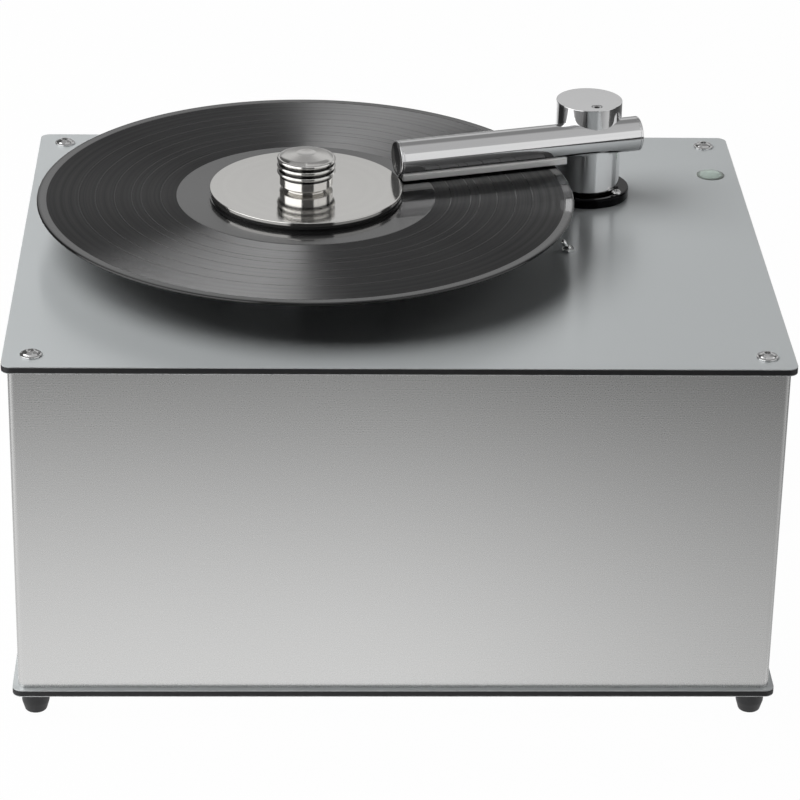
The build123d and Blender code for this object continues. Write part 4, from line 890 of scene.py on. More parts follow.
class CLEANER_OT_screws(bpy.types.Operator):
    """Turn the plate screws and the base ring's screws, and finish the screws and brackets that don't show"""

    bl_idname = "cleaner.screws"
    bl_label = "Screws"

    def execute(self, context):
        looks = context.scene.small_looks
        steel = turned_metal("screw_steel", (0, 0, 0), (0.66, 0.66, 0.66), 0.12, lines=1400, mark=0.15)
        low, high = levels("plate_screws")
        deck = levels("top_plate")[1]
        button = button_screw(looks, high - deck, deck - low)
        shells = [button + place for place in corners_of("plate_screws", looks.button_flange, deck)]
        piece("button_screws", "case", shells, steel, ["plate_screws"])
        ring_top = levels("arm_base_ring")[1]
        tower = axis_of("arm_base_ring")
        pan = pan_screw(looks, ring_top - levels("arm_ring_screws")[0])
        angles = looks.pan_start + np.radians(120.0) * np.arange(3)
        shells = [pan + tower + (looks.pan_circle * np.cos(a), looks.pan_circle * np.sin(a), ring_top)
                  for a in angles]
        piece("ring_screws", "case", shells, steel, ["arm_ring_screws"])
        dress(plated_metal("black_screw", (0.03, 0.03, 0.032), 0.3, 900), "panel_screws")
        dress(plated_metal("zinc_steel", (0.55, 0.56, 0.58), 0.32), "foot_screws", "housing_screws",
              "motor_standoffs", "swivel_nut", "vacuum_bracket")
        return {"FINISHED"}


# ---- Record and its drive ------------------------------------------------------------------------
class CLEANER_OT_record(bpy.types.Operator):
    """Press the record with its rim, lead-in, run-out and raised middle, and lay the grooved band into it"""

    bl_idname = "cleaner.record"
    bl_label = "Record"

    def execute(self, context):
        looks = context.scene.record_looks
        centre, radius = axis_of("record"), radius_of("record")
        under, top = levels("record")
        rim_top = top - looks.label_rise
        groove = rim_top - looks.groove_drop
        bed = groove - looks.groove_bed
        foot = groove - looks.groove_sheet
        bead = (rim_top - under) / 2 * 0.98
        step, lead_in, run_out = looks.step, looks.lead_in, looks.run_out
        disc = outline([(looks.hole, under), (radius, under, bead), (radius, rim_top, bead),
                        (lead_in + step, rim_top), (lead_in, bed), (run_out, bed), (run_out - step, rim_top),
                        (looks.label_edge + step, rim_top), (looks.label_edge, top), (looks.hole, top)],
                       steps=8)
        band = outline([(run_out, foot), (lead_in, foot), (lead_in, groove), (run_out, groove)], closed=True)
        finish = vinyl(centre, looks)
        lathed("pressed_record", "platter", disc, centre, 480, finish, ["record"], crease=60)
        lathed("grooved_band", "platter", band, centre, 480, finish, [], crease=60)
        return {"FINISHED"}


class CLEANER_OT_platter(bpy.types.Operator):
    """Finish the platter, its spindle and bearing, and lay the felt mat"""

    bl_idname = "cleaner.platter"
    bl_label = "Platter"

    def execute(self, context):
        looks = context.scene.record_looks
        centre = axis_of("record")
        under, top = levels("platter_mat")
        outer, inner, soft = radius_of("platter_mat"), looks.mat_hole, looks.mat_edge
        profile = outline([(inner, under, soft / 2), (outer, under, soft / 2), (outer, top, soft),
                           (inner, top, soft)], closed=True)
        felt = pile("mat_felt", (0.03, 0.03, 0.032), 0.15 * MM, 2600)
        lathed("felt_mat", "platter", profile, centre, 200, felt, ["platter_mat"])
        dress(turned_metal("platter_metal", centre, (0.62, 0.62, 0.63), 0.28, 0.4), "platter",
              "bearing_housing")
        dress(turned_metal("spindle_steel", centre, (0.6, 0.59, 0.58), 0.16, 0.3), "platter_spindle",
              "gearbox_shaft")
        dress(turned_metal("coupling_metal", centre, (0.6, 0.6, 0.61), 0.25, 0.3), "shaft_coupling")
        dress(plated_metal("bronze", (0.45, 0.27, 0.12), 0.35), "platter_bushes", "arm_bush")
        return {"FINISHED"}


class CLEANER_OT_clamp(bpy.types.Operator):
    """Turn the clamp disc and knob, and mould the rubber ring"""

    bl_idname = "cleaner.clamp"
    bl_label = "Clamp"

    def execute(self, context):
        looks = context.scene.clamp_looks
        centre = axis_of("clamp_disc")
        under, top = levels("clamp_disc")
        radius, bore, edge = radius_of("clamp_disc"), looks.disc_bore, looks.disc_edge
        disc = outline([(bore, under), (radius, under, edge), (radius, top, edge), (bore, top)], steps=5)
        steel = turned_metal("clamp_steel", centre, looks.steel, 0.10, 0.35, lines=1800, mark=0.25)
        lathed("clamp_plate", "clamp", disc, centre, 320, steel, ["clamp_disc"])
        low, high = levels("clamp_seal")
        outer, inner, swell = radius_of("clamp_seal"), looks.seal_hole, looks.seal_swell
        ring = outline([(inner, low, swell), (outer, low, swell * 2), (outer, high, swell * 2),
                        (inner, high, swell)], closed=True)
        rubber = moulded("seal_rubber", (0.004, 0.004, 0.004), 0.6, 1400)
        lathed("seal_ring", "clamp", ring, centre, 240, rubber, ["clamp_seal"])
        dress(turned_metal("collet_brass", centre, (0.62, 0.46, 0.2), 0.2, 0.2), "clamp_collet")
        self.turn_knob(looks, centre)
        return {"FINISHED"}

    def turn_knob(self, looks, centre):
        """The knob's profile: foot, cone, waist, rounded rings, shoulder, dished dome and bore."""
        base = levels("clamp_knob")[0]
        grip, waist, foot, bore = looks.grip, looks.waist, looks.foot, looks.knob_bore
        groove = grip - looks.groove_depth
        level = looks.waist_height
        corners = [(bore, 0), (foot, 0), (foot, looks.foot_height, 0.1 * MM),
                   (waist, looks.cone_top, 0.5 * MM), (waist, level, 0.15 * MM)]
        for _ in range(looks.ring_count):
            low = level + looks.groove_height
            level += looks.ring_pitch
            corners += [(groove, low - looks.groove_height * 0.9, 0.2 * MM), (groove, low, 0.2 * MM),
                        (grip, low, looks.ring_round), (grip, level, looks.ring_round)]
        rise = looks.dome_rise
        corners += [(groove + 0.2 * MM, level + 0.05 * MM, 0.3 * MM),
                    (grip * 0.84, level + rise * 0.42, 6 * MM), (looks.dish, level + rise, 0.5 * MM)]
        dish = dome(looks.dish, level + rise, -looks.dish_depth)
        inside = [(0, looks.knob_depth), (bore, looks.knob_depth)]
        profile = np.vstack([outline(corners, steps=8), dish[1:], inside]) + (0, base)
        # Painted shade: the grooves and the lower part of each ring, inside the rings' faces, get a darkened
        # colour in place of their shade.
        first, last, face = base + looks.waist_height, base + level, grip - looks.painted_groove_shade
        steel = turned_metal("knob_steel", centre, looks.steel, 0.16, 0.75, lines=2400, mark=0.6,
                             sunk=lambda r, z: (r < face) * (z > first) * (z < last))
        lathed("grip_knob", "knob", profile, centre, 256, steel, ["clamp_knob"], crease=50)


# ---- Arm -----------------------------------------------------------------------------------------
def arm_frame(looks):
    """Directions along the tube and to its back, and the tower's place on the table."""
    along = np.array([np.cos(looks.heading), np.sin(looks.heading), 0.0])
    back = np.array([-along[1], along[0], 0.0])
    return along, back, axis_of("arm_base_ring")


def span(node, direction, origin):
    """How far a CAD node reaches from origin along a direction, both ways."""
    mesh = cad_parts[node].data
    places = np.empty(len(mesh.vertices) * 3, np.float32)
    mesh.vertices.foreach_get("co", places)
    reach = (places.reshape(-1, 3) - origin) @ direction
    return float(reach.min()), float(reach.max())


class CLEANER_OT_arm_foot(bpy.types.Operator):
    """Turn the black base ring and the swivel tube with its collar, and wind the lift spring"""

    bl_idname = "cleaner.arm_foot"
    bl_label = "Arm base"

    def execute(self, context):
        looks = context.scene.arm_looks
        tower, radius, hole = axis_of("arm_base_ring"), radius_of("arm_base_ring"), looks.ring_hole
        low, high = levels("arm_base_ring")
        ring = outline([(hole, low), (radius, low, 0.2 * MM), (radius, high, looks.ring_edge),
                        (hole, high, 0.2 * MM)], closed=True, steps=10)
        black = turned_metal("black_anodised", tower, (0.006, 0.006, 0.0065), 0.10, lines=2200, mark=0.12)
        lathed("base_ring", "case", ring, tower, 240, black, ["arm_base_ring"])
        foot, top = levels("arm_swivel_tube")
        outer, inner, collar = looks.swivel, looks.swivel - looks.swivel_wall, looks.collar
        collar_top = levels("arm_post")[0]
        tube = outline([(inner, foot), (outer, foot), (outer, high), (collar, high, 0.1 * MM),
                        (collar, collar_top, 0.1 * MM), (outer, collar_top), (outer, top), (inner, top)])
        steel = turned_metal("swivel_steel", tower, (0.55, 0.54, 0.53), 0.2, 0.3)
        lathed("swivel_sleeve", "swivel", tube, tower, 128, steel, ["arm_swivel_tube"])
        self.wind_spring(looks, tower, steel)
        return {"FINISHED"}

    def wind_spring(self, looks, tower, steel):
        """The lift spring: a round wire along tower + mean radius * (cos a, sin a) that climbs evenly with a.

        It starts above the collar by the play that the arm needs to settle.
        """
        foot, top = levels("arm_lift_spring")
        wire = looks.spring_wire / 2
        mean = (looks.swivel + looks.chamber) / 2
        turn = np.linspace(0, 2 * np.pi * looks.spring_turns, 240)
        radial = np.stack([np.cos(turn), np.sin(turn), 0 * turn], axis=1)
        climb = np.linspace(foot + looks.lift_play + wire, top - wire, len(turn))
        around = np.linspace(0, 2 * np.pi, 16, endpoint=False)
        section = wire * np.stack([np.cos(around), np.sin(around)], axis=1)
        coil = carried(section, tower + mean * radial + climb[:, None] * UP, radial)
        piece("lift_spring", "arm", [coil], steel, ["arm_lift_spring"], crease=60)


class CLEANER_OT_arm_post(bpy.types.Operator):
    """Turn the post with its bore from below and the set screw's hole from above, and make the set screw"""

    bl_idname = "cleaner.arm_post"
    bl_label = "Arm post"

    def execute(self, context):
        looks = context.scene.arm_looks
        along, back, tower = arm_frame(looks)
        beside = (0, -looks.offset, 0)
        low, high = levels("arm_post")
        radius, bore, room = radius_of("arm_post"), looks.post_bore, looks.chamber
        roof, cap = low + looks.chamber_height, high - looks.post_cap
        post = outline([(0, cap), (bore, cap), (bore, roof), (room, roof), (room, low),
                        (radius, low, 0.25 * MM), (radius, high, looks.post_edge), (radius * 0.9, high)],
                       steps=5)
        wide, floor, broken = looks.set_screw_hole, high - looks.set_screw_room, 0.2 * MM
        hole = np.array([(wide + broken, high), (wide, high - broken), (wide, floor), (0, floor)])
        shell = np.concatenate([turned(post, columns=256), turned(hole, beside, 256)])
        metal = turned_metal("post_aluminium", tower, looks.post_metal, 0.10, 0.25, lines=1500, mark=0.18)
        piece("arm_pillar", "arm", [laid(shell, along, back, UP, tower)], metal, ["arm_post"])
        foot, top = levels("arm_tube_screw")
        head, edge = looks.set_screw, 0.4 * MM
        key = hexagon(context.scene.small_looks.set_key)
        rows = [(0.0, foot), (head, foot), (head, top - edge), (head - edge, top), (key, top),
                (key, top - head), (0.0, top - head - edge)]
        screw = laid(shaped(rows, beside), along, back, UP, tower)
        middle = tower - looks.offset * back
        steel = turned_metal("set_screw_steel", middle, (0.6, 0.6, 0.6), 0.18, lines=1200)
        piece("set_screw", "arm", [screw], steel, ["arm_tube_screw"])
        return {"FINISHED"}


class CLEANER_OT_arm_tube(bpy.types.Operator):
    """Draw the suction tube and turn its two dished end caps"""

    bl_idname = "cleaner.arm_tube"
    bl_label = "Arm tube"

    def execute(self, context):
        looks = context.scene.arm_looks
        along, back, tower = arm_frame(looks)
        low, high = levels("arm_end_caps")
        radius, edge = (high - low) / 2, looks.tube_edge
        inner, plug = radius - looks.tube_wall, radius - looks.tube_wall - looks.cap_play
        origin = tower - looks.offset * back + UP * (low + high) / 2
        start, end = span("arm_tube", along, tower)
        wall = outline([(radius, start, edge), (radius, end, edge), (inner, end), (inner, start)],
                       closed=True, steps=4)
        shell = laid(turned(wall, columns=256), back, UP, along, origin)
        metal = drawn_metal("tube_steel", origin, looks.heading, looks.tube_metal, 0.09, 0.8)
        piece("suction_tube", "arm", [(shell, True)], metal, ["arm_tube"])
        flange, lip = looks.cap_flange, radius - looks.cap_lip
        cap = outline([(lip, flange, looks.cap_edge), (radius, flange, looks.cap_edge), (radius, 0, edge),
                       (plug, 0), (plug, -looks.cap_plug), (0, -looks.cap_plug)], steps=6)
        dish = dome(lip, flange, -looks.cap_dish, 24, looks.cap_bowl)[::-1]
        cap = turned(np.vstack([dish, cap[1:]]), columns=192)
        shells = [laid(cap, back, UP, along, origin + along * end),
                  laid(cap, -back, UP, -along, origin + along * start)]
        bright = drawn_metal("cap_steel", origin, looks.heading, looks.tube_metal, 0.06, 0.2)
        piece("dished_caps", "arm", shells, bright, ["arm_end_caps"], crease=40)
        return {"FINISHED"}


class CLEANER_OT_strip(bpy.types.Operator):
    """Mill the suction strip under the tube and lay the two velvet pads"""

    bl_idname = "cleaner.strip"
    bl_label = "Suction strip"

    def execute(self, context):
        looks = context.scene.arm_looks
        along, back, tower = arm_frame(looks)
        start, end = span("suction_strip", along, tower)
        near, far = span("suction_strip", back, tower)
        half = (far - near) / 2
        bevel = looks.strip_edge
        stops = np.array([start, start + bevel, start + half, start + half,
                          end - half, end - half, end - bevel, end])
        shrink = np.array([1 - bevel / half, 1, 1, 1, 1, 1, 1, 1 - bevel / half])
        closed, sunk = self.section(looks, half, 0.01 * MM), self.section(looks, half, looks.slot_depth)
        sections = np.array([closed, closed, closed, sunk, sunk, closed, closed, closed])
        sections[:, :, 0] *= shrink[:, None]
        origin = tower - looks.offset * back
        sideways = np.repeat(back[None], len(stops), axis=0)
        bar = carried(sections, origin + stops[:, None] * along, sideways)
        metal = drawn_metal("strip_steel", origin, looks.heading, looks.strip_metal, 0.58)
        piece("suction_bar", "arm", [bar], metal, ["suction_strip"], crease=28)
        self.lay_pads(looks, along, back, tower)
        return {"FINISHED"}

    def section(self, looks, half, depth):
        """The strip's section: a line along each side, and the slot sunk to a depth from below."""
        low, high = levels("suction_strip")
        line, line_top = low + looks.line_level, low + looks.line_level + looks.line
        slot, edge, sunk = looks.slot_half, looks.strip_edge, half - looks.line
        return outline([(-half, low, edge), (-half, line), (-sunk, line), (-sunk, line_top),
                        (-half, line_top), (-half, high, edge), (half, high, edge), (half, line_top),
                        (sunk, line_top), (sunk, line), (half, line), (half, low, edge),
                        (slot, low), (slot, low + depth), (-slot, low + depth), (-slot, low)],
                       closed=True, steps=3, hold=NO_HOLD)

    def lay_pads(self, looks, along, back, tower):
        """Two strips of pile: a crowned section whose lower side wavers along its length."""
        start, end = span("velvet_pads", along, tower)
        near, far = span("velvet_pads", back, tower)
        low, high = levels("velvet_pads")
        half = (far - near) / 2
        inner = looks.slot_half + looks.pad_gap
        middle, width = (half + inner) / 2, (half - inner) / 2
        stops = np.linspace(start, end, 160)
        waver = looks.pile * (0.5 + 0.5 * np.sin(stops * 2100) * np.sin(stops * 730 + 1))
        turn = np.linspace(0, 2 * np.pi, 24, endpoint=False)
        across = width * np.sign(np.cos(turn)) * np.abs(np.cos(turn)) ** 0.5
        down = np.where(np.sin(turn) < 0, np.abs(np.sin(turn)) ** 0.6, 0)
        ends = np.minimum(1, (np.minimum(stops - start, end - stops) / MM) ** 0.5)[:, None]
        fall = (high - low - waver[:, None]) * ends
        places = tower - looks.offset * back + stops[:, None] * along + UP * high
        sideways = np.repeat(back[None], len(stops), axis=0)
        shells = [carried(np.stack([side * middle + across * ends, -down * fall], axis=-1), places, sideways)
                  for side in (-1, 1)]
        velvet = pile("velvet_pile", (0.012, 0.012, 0.014), 0.12 * MM, 4200)
        piece("velvet_strips", "arm", shells, velvet, ["velvet_pads"], crease=60)


# ---- Switch and lens -----------------------------------------------------------------------------
def threaded_nickel(centre, start, looks):
    """Nickel plate with a thread above a level: a sine along its height, with shade painted dark into its
    roots.
    """
    tree = material("threaded_nickel")
    height = tree.parts(tree.place(centre))[2]
    thread = (height * (2 * np.pi / looks.thread_pitch)).wave() * (height > start)
    fine = tree.noise(tree.place(centre), 900, 2)
    # Painted shade: the thread's roots are darkened in the colour where shade would fall.
    tint = tree.blend(thread.ramp(-1, 0.2), (0.25, 0.25, 0.25), looks.nickel)
    return tree.gloss(Base_Color=tint, Metallic=1.0, Roughness=fine * 0.1 + 0.12,
                      Normal=tree.bump(thread, 0.12 * MM, 0.8))


class CLEANER_OT_toggle(bpy.types.Operator):
    """Make the toggle switch: threaded bushing, six-sided nut and tapered lever"""

    bl_idname = "cleaner.toggle"
    bl_label = "Toggle switch"

    def execute(self, context):
        looks = context.scene.small_looks
        centre = axis_of("toggle_nut")
        deck, top = levels("toggle_nut")
        dress(threaded_nickel(centre, deck, looks), "toggle_body")
        flat = hexagon(looks.nut_flats)
        point = looks.nut_flats / 2 * 1.06
        hole, bevel = looks.nut_hole, 0.3 * MM

        def chamfered(a):
            """The nut's outline with its points turned down to a circle."""
            return np.minimum(flat(a), point)

        rows = [(hole, deck), (chamfered, deck), (flat, deck + bevel), (flat, top - bevel), (chamfered, top),
                (hole + bevel, top), (hole, top - bevel)]
        nickel = drawn_metal("nickel", centre, 0.0, looks.nickel, 0.12, 0.2)
        piece("hex_nut", "case", [(shaped(rows, centre), True)], nickel, ["toggle_nut"])
        self.turn_lever(looks, centre + UP * (deck + looks.lever_pivot))
        return {"FINISHED"}

    def turn_lever(self, looks, pivot):
        """The lever: a tapered shaft with a round end on a ball, turned about its own leaning axis."""
        lean = np.array([-np.sin(looks.lever_tilt), 0.0, np.cos(looks.lever_tilt)])
        side = np.array([lean[2], 0.0, -lean[0]])
        root, tip, ball, reach = looks.lever_root, looks.lever_tip, looks.lever_ball, looks.lever_length
        shaft = outline([(0, 0), (root, 0), (root * 1.05, reach * 0.3, 3 * MM),
                         (tip, reach - tip * 1.6, 2 * MM), (tip, reach, tip * 0.95), (0, reach)], steps=10)
        rise = np.linspace(-np.pi / 2, np.pi / 2, 17)
        globe = ball * np.stack([np.cos(rise), np.sin(rise)], axis=1)
        shells = [laid(turned(form, columns=64), side, BACK, lean, pivot) for form in (shaft, globe)]
        nickel = drawn_metal("lever_nickel", pivot, 0.0, (0.68, 0.69, 0.69), 0.08, 0.15)
        piece("bat_lever", "lever", shells, nickel, ["toggle_lever"], crease=50)


class CLEANER_OT_lens(bpy.types.Operator):
    """Turn the clear level lens: stem, sloped flange and dome"""

    bl_idname = "cleaner.lens"
    bl_label = "Level lens"

    def execute(self, context):
        looks = context.scene.small_looks
        low, high = levels("level_lens")
        deck = levels("top_plate")[1]
        radius, stem = radius_of("level_lens"), looks.lens_stem
        shoulder = radius - looks.lens_edge
        crown = shoulder - 0.2 * MM
        brim = deck + looks.lens_flange
        profile = outline([(0, low), (stem, low, 0.3 * MM), (stem, deck), (radius, deck),
                           (radius, deck + looks.lens_flange / 2, 0.15 * MM), (shoulder, brim, 0.3 * MM),
                           (crown, brim)])
        profile = np.vstack([profile, dome(crown, brim, high - brim, 14)[1:]])
        shell = turned(profile, axis_of("level_lens"), 128)
        piece("clear_lens", "case", [shell], clear_lens(looks.lens_colour), ["level_lens"])
        return {"FINISHED"}


# ---- Inside --------------------------------------------------------------------------------------
class CLEANER_OT_inside(bpy.types.Operator):
    """Finish what the case holds: motors, fan, tank, hoses, board and wiring"""

    bl_idname = "cleaner.inside"
    bl_label = "Inside"

    def execute(self, context):
        dress(plated_metal("milled_aluminium", (0.58, 0.58, 0.59), 0.34), "corner_posts", "gearbox",
              "fan_impeller")
        dress(plated_metal("motor_steel", (0.42, 0.43, 0.44), 0.36, 400), "drive_motor", "vacuum_motor")
        dress(turned_metal("fan_steel", axis_of("fan_shaft"), (0.55, 0.55, 0.55), 0.2), "fan_shaft")
        dress(moulded("fan_plastic", (0.02, 0.02, 0.021), 0.45), "fan_housing")
        dress(moulded("hose_rubber", (0.014, 0.014, 0.014), 0.6, 1300), "drop_hose", "vacuum_hose",
              "vacuum_seat")
        dress(moulded("tank_plastic", (0.72, 0.73, 0.72), 0.4, 500), "waste_tank", "tank_lid")
        dress(moulded("float_plastic", (0.5, 0.03, 0.025), 0.35, 500), "level_float")
        dress(moulded("guide_plastic", (0.3, 0.3, 0.31), 0.45, 600), "level_tube")
        dress(laminate_board("power_board"), "power_board")
        dress(moulded("component_plastic", (0.03, 0.03, 0.035), 0.4, 800), "board_parts")
        dress(moulded("wire_sheath", (0.03, 0.03, 0.03), 0.5, 700), "wiring")
        return {"FINISHED"}


# ---- Studio --------------------------------------------------------------------------------------
def card(name, middle, right, up, width, height, shade, soft, cover=1.0):
    """A card that only glossy surfaces see, with an edge that is soft over a share of its half width.

    Shade is its brightness, or a function of the place on it, from -1 to 1 each way. Cover is how much it
    hides of what lies behind it.
    """
    mesh = bpy.data.meshes.new(name)
    mesh.from_pydata([(-1, -1, 0), (1, -1, 0), (1, 1, 0), (-1, 1, 0)], [], [(0, 1, 2, 3)])
    tree = material(name)
    x, y = tree.parts(tree.place())[:2]
    edge = abs(x).max(abs(y)).ramp(1 - soft, 1.0, cover, 0.0)
    level = shade(x, y) if callable(shade) else shade
    clear = tree.add("ShaderNodeBsdfTransparent")
    mesh.materials.append(mixed(tree, edge, clear, emission(tree, level / cover)))
    made = bpy.data.objects.new(name, mesh)
    bpy.context.scene.collection.objects.link(made)
    right, up = Vector(right), Vector(up)
    axes = Matrix((right * width / 2, up * height / 2, right.cross(up))).transposed().to_4x4()
    made.matrix_world = Matrix.Translation(middle) @ axes
    made.visible_camera = made.visible_diffuse = made.visible_shadow = False
    made.visible_transmission = False
    return made


def level_card(name, middle, width, depth, shade, soft, cover=1.0):
    """A card that lies level, above the machine or just over the floor."""
    return card(name, middle, (1, 0, 0), (0, 1, 0), width, depth, shade, soft, cover)


def upright_card(name, azimuth, distance, spread, low, high, shade, soft, cover=1.0):
    """A card that stands round the machine: its middle's azimuth from +X, and spread, the angle it covers."""
    turn = np.radians(azimuth)
    middle = (distance * np.cos(turn), distance * np.sin(turn), (low + high) / 2)
    width = 2 * distance * np.tan(np.radians(spread / 2))
    sideways = (np.sin(turn), -np.cos(turn), 0)
    return card(name, middle, sideways, (0, 0, 1), width, high - low, shade, soft, cover)


def shine_on(made, name, state="INCLUDE"):
    """Lets a card light only this piece, or, where the state is EXCLUDE, all pieces but this one."""
    lit = bpy.data.collections.new(made.name + "_lights")
    lit.objects.link(bpy.data.objects[name])
    lit.collection_objects[0].light_linking.link_state = state
    made.light_linking.receiver_collection = lit


def softbox(name, middle, towards, width, height, brightness):
    """A rectangular lamp whose face has a brightness, where 1 is white."""
    lamp = bpy.data.lights.new(name, "AREA")
    lamp.shape = "RECTANGLE"
    lamp.size, lamp.size_y = width, height
    lamp.energy = brightness * np.pi * width * height
    made = bpy.data.objects.new(name, lamp)
    bpy.context.scene.collection.objects.link(made)
    facing = (Vector(towards) - Vector(middle)).to_track_quat("-Z", "Y").to_matrix().to_4x4()
    made.matrix_world = Matrix.Translation(middle) @ facing
    made.visible_glossy = False
    return made


def seen_directly(tree):
    """1 for rays from the camera, a mirror or clear plastic, 0 for the others."""
    path = tree.add("ShaderNodeLightPath", {}, {}, "Is Camera Ray")
    return path.max(path.other("Is Glossy Ray")).max(path.other("Is Transmission Ray"))


class CLEANER_OT_studio(bpy.types.Operator):
    """Set up the white floor, the room light, the lamps and cards, and the camera"""

    bl_idname = "cleaner.studio"
    bl_label = "Studio"

    def execute(self, context):
        looks = context.scene.studio_looks
        self.lay_floor(looks)
        world = bpy.data.worlds.new("room")
        context.scene.world = world
        tree = Tree(world)
        level = seen_directly(tree) * (1 - looks.room) + looks.room
        tree.surface(tree.add("ShaderNodeBackground", {}, {"Color": (1, 1, 1), "Strength": level}))
        self.hang_lamps(looks)
        self.stand_cards(looks)
        self.lay_cards(looks)
        self.set_camera(context, looks)
        context.scene.view_settings.view_transform = "Standard"
        return {"FINISHED"}

    def lay_floor(self, looks):
        """A white floor, mostly its own light where it is seen: it stays white and keeps a soft shadow."""
        mesh = bpy.data.meshes.new("floor")
        reach = 6.0
        mesh.from_pydata([(-reach, -reach, 0), (reach, -reach, 0), (reach, reach, 0), (-reach, reach, 0)], [],
                         [(0, 1, 2, 3)])
        tree = material("floor_white")
        paint = tree.add("ShaderNodeBsdfDiffuse", {}, {"Color": (0.92, 0.92, 0.92)})
        glow = seen_directly(tree) * looks.floor_white
        mesh.materials.append(mixed(tree, glow, paint, emission(tree, 1.0)))
        floor = bpy.data.objects.new("floor", mesh)
        bpy.context.scene.collection.objects.link(floor)

    def hang_lamps(self, looks):
        """The three soft lamps: place, what they point at, width and height."""
        middle = (0.0, 0.0, 0.2)
        softbox("top_lamp", (-1.0, 0.2, 1.5), (-0.05, 0.0, 0.2), 1.6, 1.3, looks.top_lamp)
        softbox("left_lamp", (-1.4, 0.1, 0.9), middle, 1.2, 1.2, looks.left_lamp)
        softbox("right_lamp", (1.4, 0.6, 0.9), middle, 0.7, 0.7, looks.right_lamp)

    def stand_cards(self, looks):
        """What metal and vinyl reflect round the machine: a backdrop, bright panels and dark gaps.

        The grooves have a dim backdrop of their own, which hides next to nothing.
        """
        def behind(x, y):
            """Dim at its foot and in its upper half, bright between them."""
            return y.ramp(-0.75, -0.3, 0.32, 0.70) * y.ramp(-0.05, 0.15, 1.0, 0.45)

        backdrop = upright_card("backdrop", azimuth=82, distance=1.7, spread=96, low=0.05, high=3.0,
                                shade=behind, soft=0.05)
        shine_on(backdrop, "grooved_band", "EXCLUDE")
        dim = upright_card("groove_backdrop", azimuth=82, distance=1.6, spread=100, low=0.0, high=2.9,
                           shade=looks.groove_backdrop, soft=0.05, cover=0.02)
        shine_on(dim, "grooved_band")
        upright_card("left_panel", azimuth=207, distance=1.35, spread=82, low=0.0, high=2.1,
                     shade=looks.left_panel, soft=0.06)
        upright_card("right_panel", azimuth=346, distance=1.5, spread=46, low=0.0, high=1.3,
                     shade=looks.right_panel, soft=0.1)
        for name, azimuth, distance, spread, shade in (("front_gap", 276, 1.95, 54, 0.08),
                                                       ("left_gap", 141, 1.55, 54, 0.1),
                                                       ("right_gap", 21, 1.55, 25, 0.1)):
            upright_card(name, azimuth, distance, spread, low=-0.3, high=2.2, shade=shade, soft=0.1)

    def lay_cards(self, looks):
        """What they reflect above and below: two ceilings, and floors that are brightest at the machine."""
        sheen = level_card("left_ceiling", (-0.60, 0.0, 1.55), 1.1, 2.0, soft=0.04, cover=0.6,
                           shade=lambda x, y: x.ramp(-1.0, 1.0, 0.75, 1.1) * looks.left_ceiling)
        shine_on(sheen, "grooved_band")
        level_card("right_ceiling", (0.85, 0.0, 1.56), 1.8, 2.4, soft=0.06,
                   shade=lambda x, y: y.ramp(0.2, 0.45, 0.6, 0.3))
        level_card("left_floor", (-1.22, 0.43, 0.004), 2.0, 1.2, soft=0.01,
                   shade=lambda x, y: x.ramp(0.27, 1.02, 0.03, 0.85) * y.ramp(-1.0, 0.3, 1.0, 0.6))
        level_card("right_floor", (1.22, 0.43, 0.004), 2.0, 1.2, soft=0.01,
                   shade=lambda x, y: x.ramp(-1.02, -0.27, 0.55, 0.03) * y.ramp(-1.0, 0.3, 1.0, 0.5))
        level_card("front_floor", (0.0, -1.17, 0.004), 5.0, 2.0, soft=0.01,
                   shade=lambda x, y: y.ramp(0.27, 1.02, 0.03, 0.95) * x.ramp(-0.02, 0.13, 1.0, 0.62))

    def set_camera(self, context, looks):
        """The camera's axes from its yaw, pitch and roll."""
        yaw, pitch, roll = looks.yaw, looks.pitch, looks.roll
        ahead = Vector((np.sin(yaw) * np.cos(pitch), np.cos(yaw) * np.cos(pitch), -np.sin(pitch)))
        up = Vector((np.sin(yaw) * np.sin(pitch), np.cos(yaw) * np.sin(pitch), np.cos(pitch)))
        right = Vector((np.cos(yaw), -np.sin(yaw), 0.0))
        across = right * np.cos(roll) + up * np.sin(roll)
        above = up * np.cos(roll) - right * np.sin(roll)
        lens = bpy.data.cameras.new("camera")
        lens.lens = looks.focal
        lens.sensor_width = 36.0
        lens.clip_end = 50.0
        camera = bpy.data.objects.new("camera", lens)
        context.scene.collection.objects.link(camera)
        turn = Matrix((across, above, -ahead)).transposed().to_4x4()
        camera.matrix_world = Matrix.Translation(looks.eye) @ turn
        context.scene.camera = camera


# ---- Add-on --------------------------------------------------------------------------------------
STEPS = [CLEANER_OT_plates, CLEANER_OT_wall, CLEANER_OT_rear, CLEANER_OT_feet, CLEANER_OT_screws,
         CLEANER_OT_record, CLEANER_OT_platter, CLEANER_OT_clamp, CLEANER_OT_arm_foot, CLEANER_OT_arm_post,
         CLEANER_OT_arm_tube, CLEANER_OT_strip, CLEANER_OT_toggle, CLEANER_OT_lens, CLEANER_OT_inside,
         CLEANER_OT_studio]


class CLEANER_PT_steps(bpy.types.Panel):
    """Lists the steps that build the machine's looks"""

    bl_idname = "CLEANER_PT_steps"
    bl_label = "Record cleaning machine"
    bl_space_type = "VIEW_3D"
    bl_region_type = "UI"
    bl_category = "Cleaner"

    def draw(self, context):
        column = self.layout.column()
        for step in STEPS:
            column.operator(step.bl_idname)
        for name, group in GROUPS.items():
            looks = getattr(context.scene, name)
            fields = self.layout.box()
            for key in group.__annotations__:
                fields.prop(looks, key)


def register():
    """Adds the property groups, the operators and the panel."""
    for name, group in GROUPS.items():
        bpy.utils.register_class(group)
        setattr(bpy.types.Scene, name, PointerProperty(type=group))
    for kind in (*STEPS, CLEANER_PT_steps):
        bpy.utils.register_class(kind)


def unregister():
    """Takes them away again, in the opposite order."""
    for kind in reversed((*STEPS, CLEANER_PT_steps)):
        bpy.utils.unregister_class(kind)
    for name, group in GROUPS.items():
        delattr(bpy.types.Scene, name)
        bpy.utils.unregister_class(group)


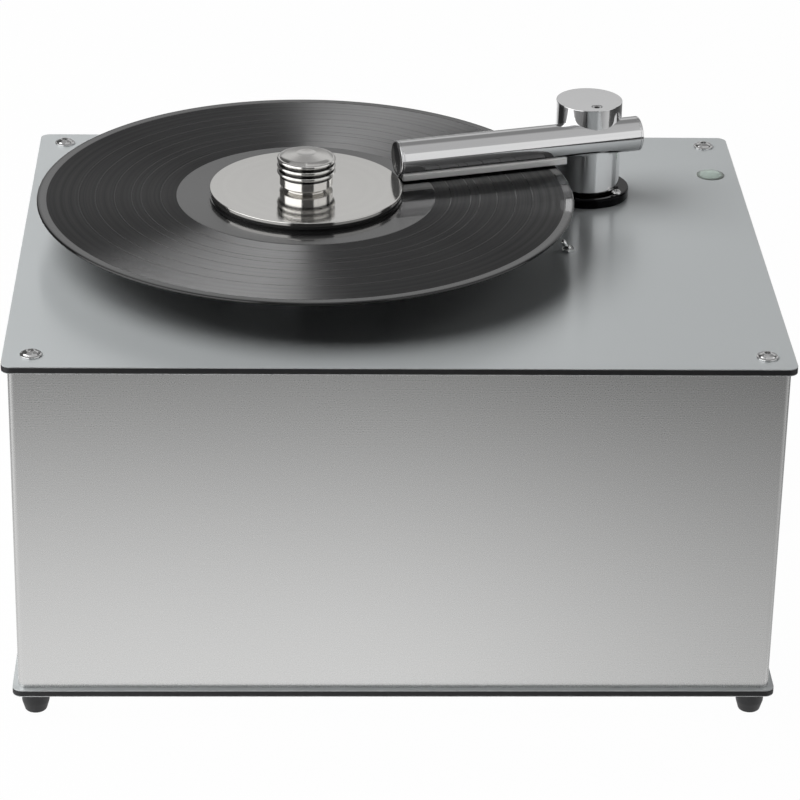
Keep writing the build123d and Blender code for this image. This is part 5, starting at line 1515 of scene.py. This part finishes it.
def main():
    register()
    for step in STEPS:
        family, name = step.bl_idname.split(".")
        getattr(getattr(bpy.ops, family), name)()


if __name__ == "__main__":
    main()
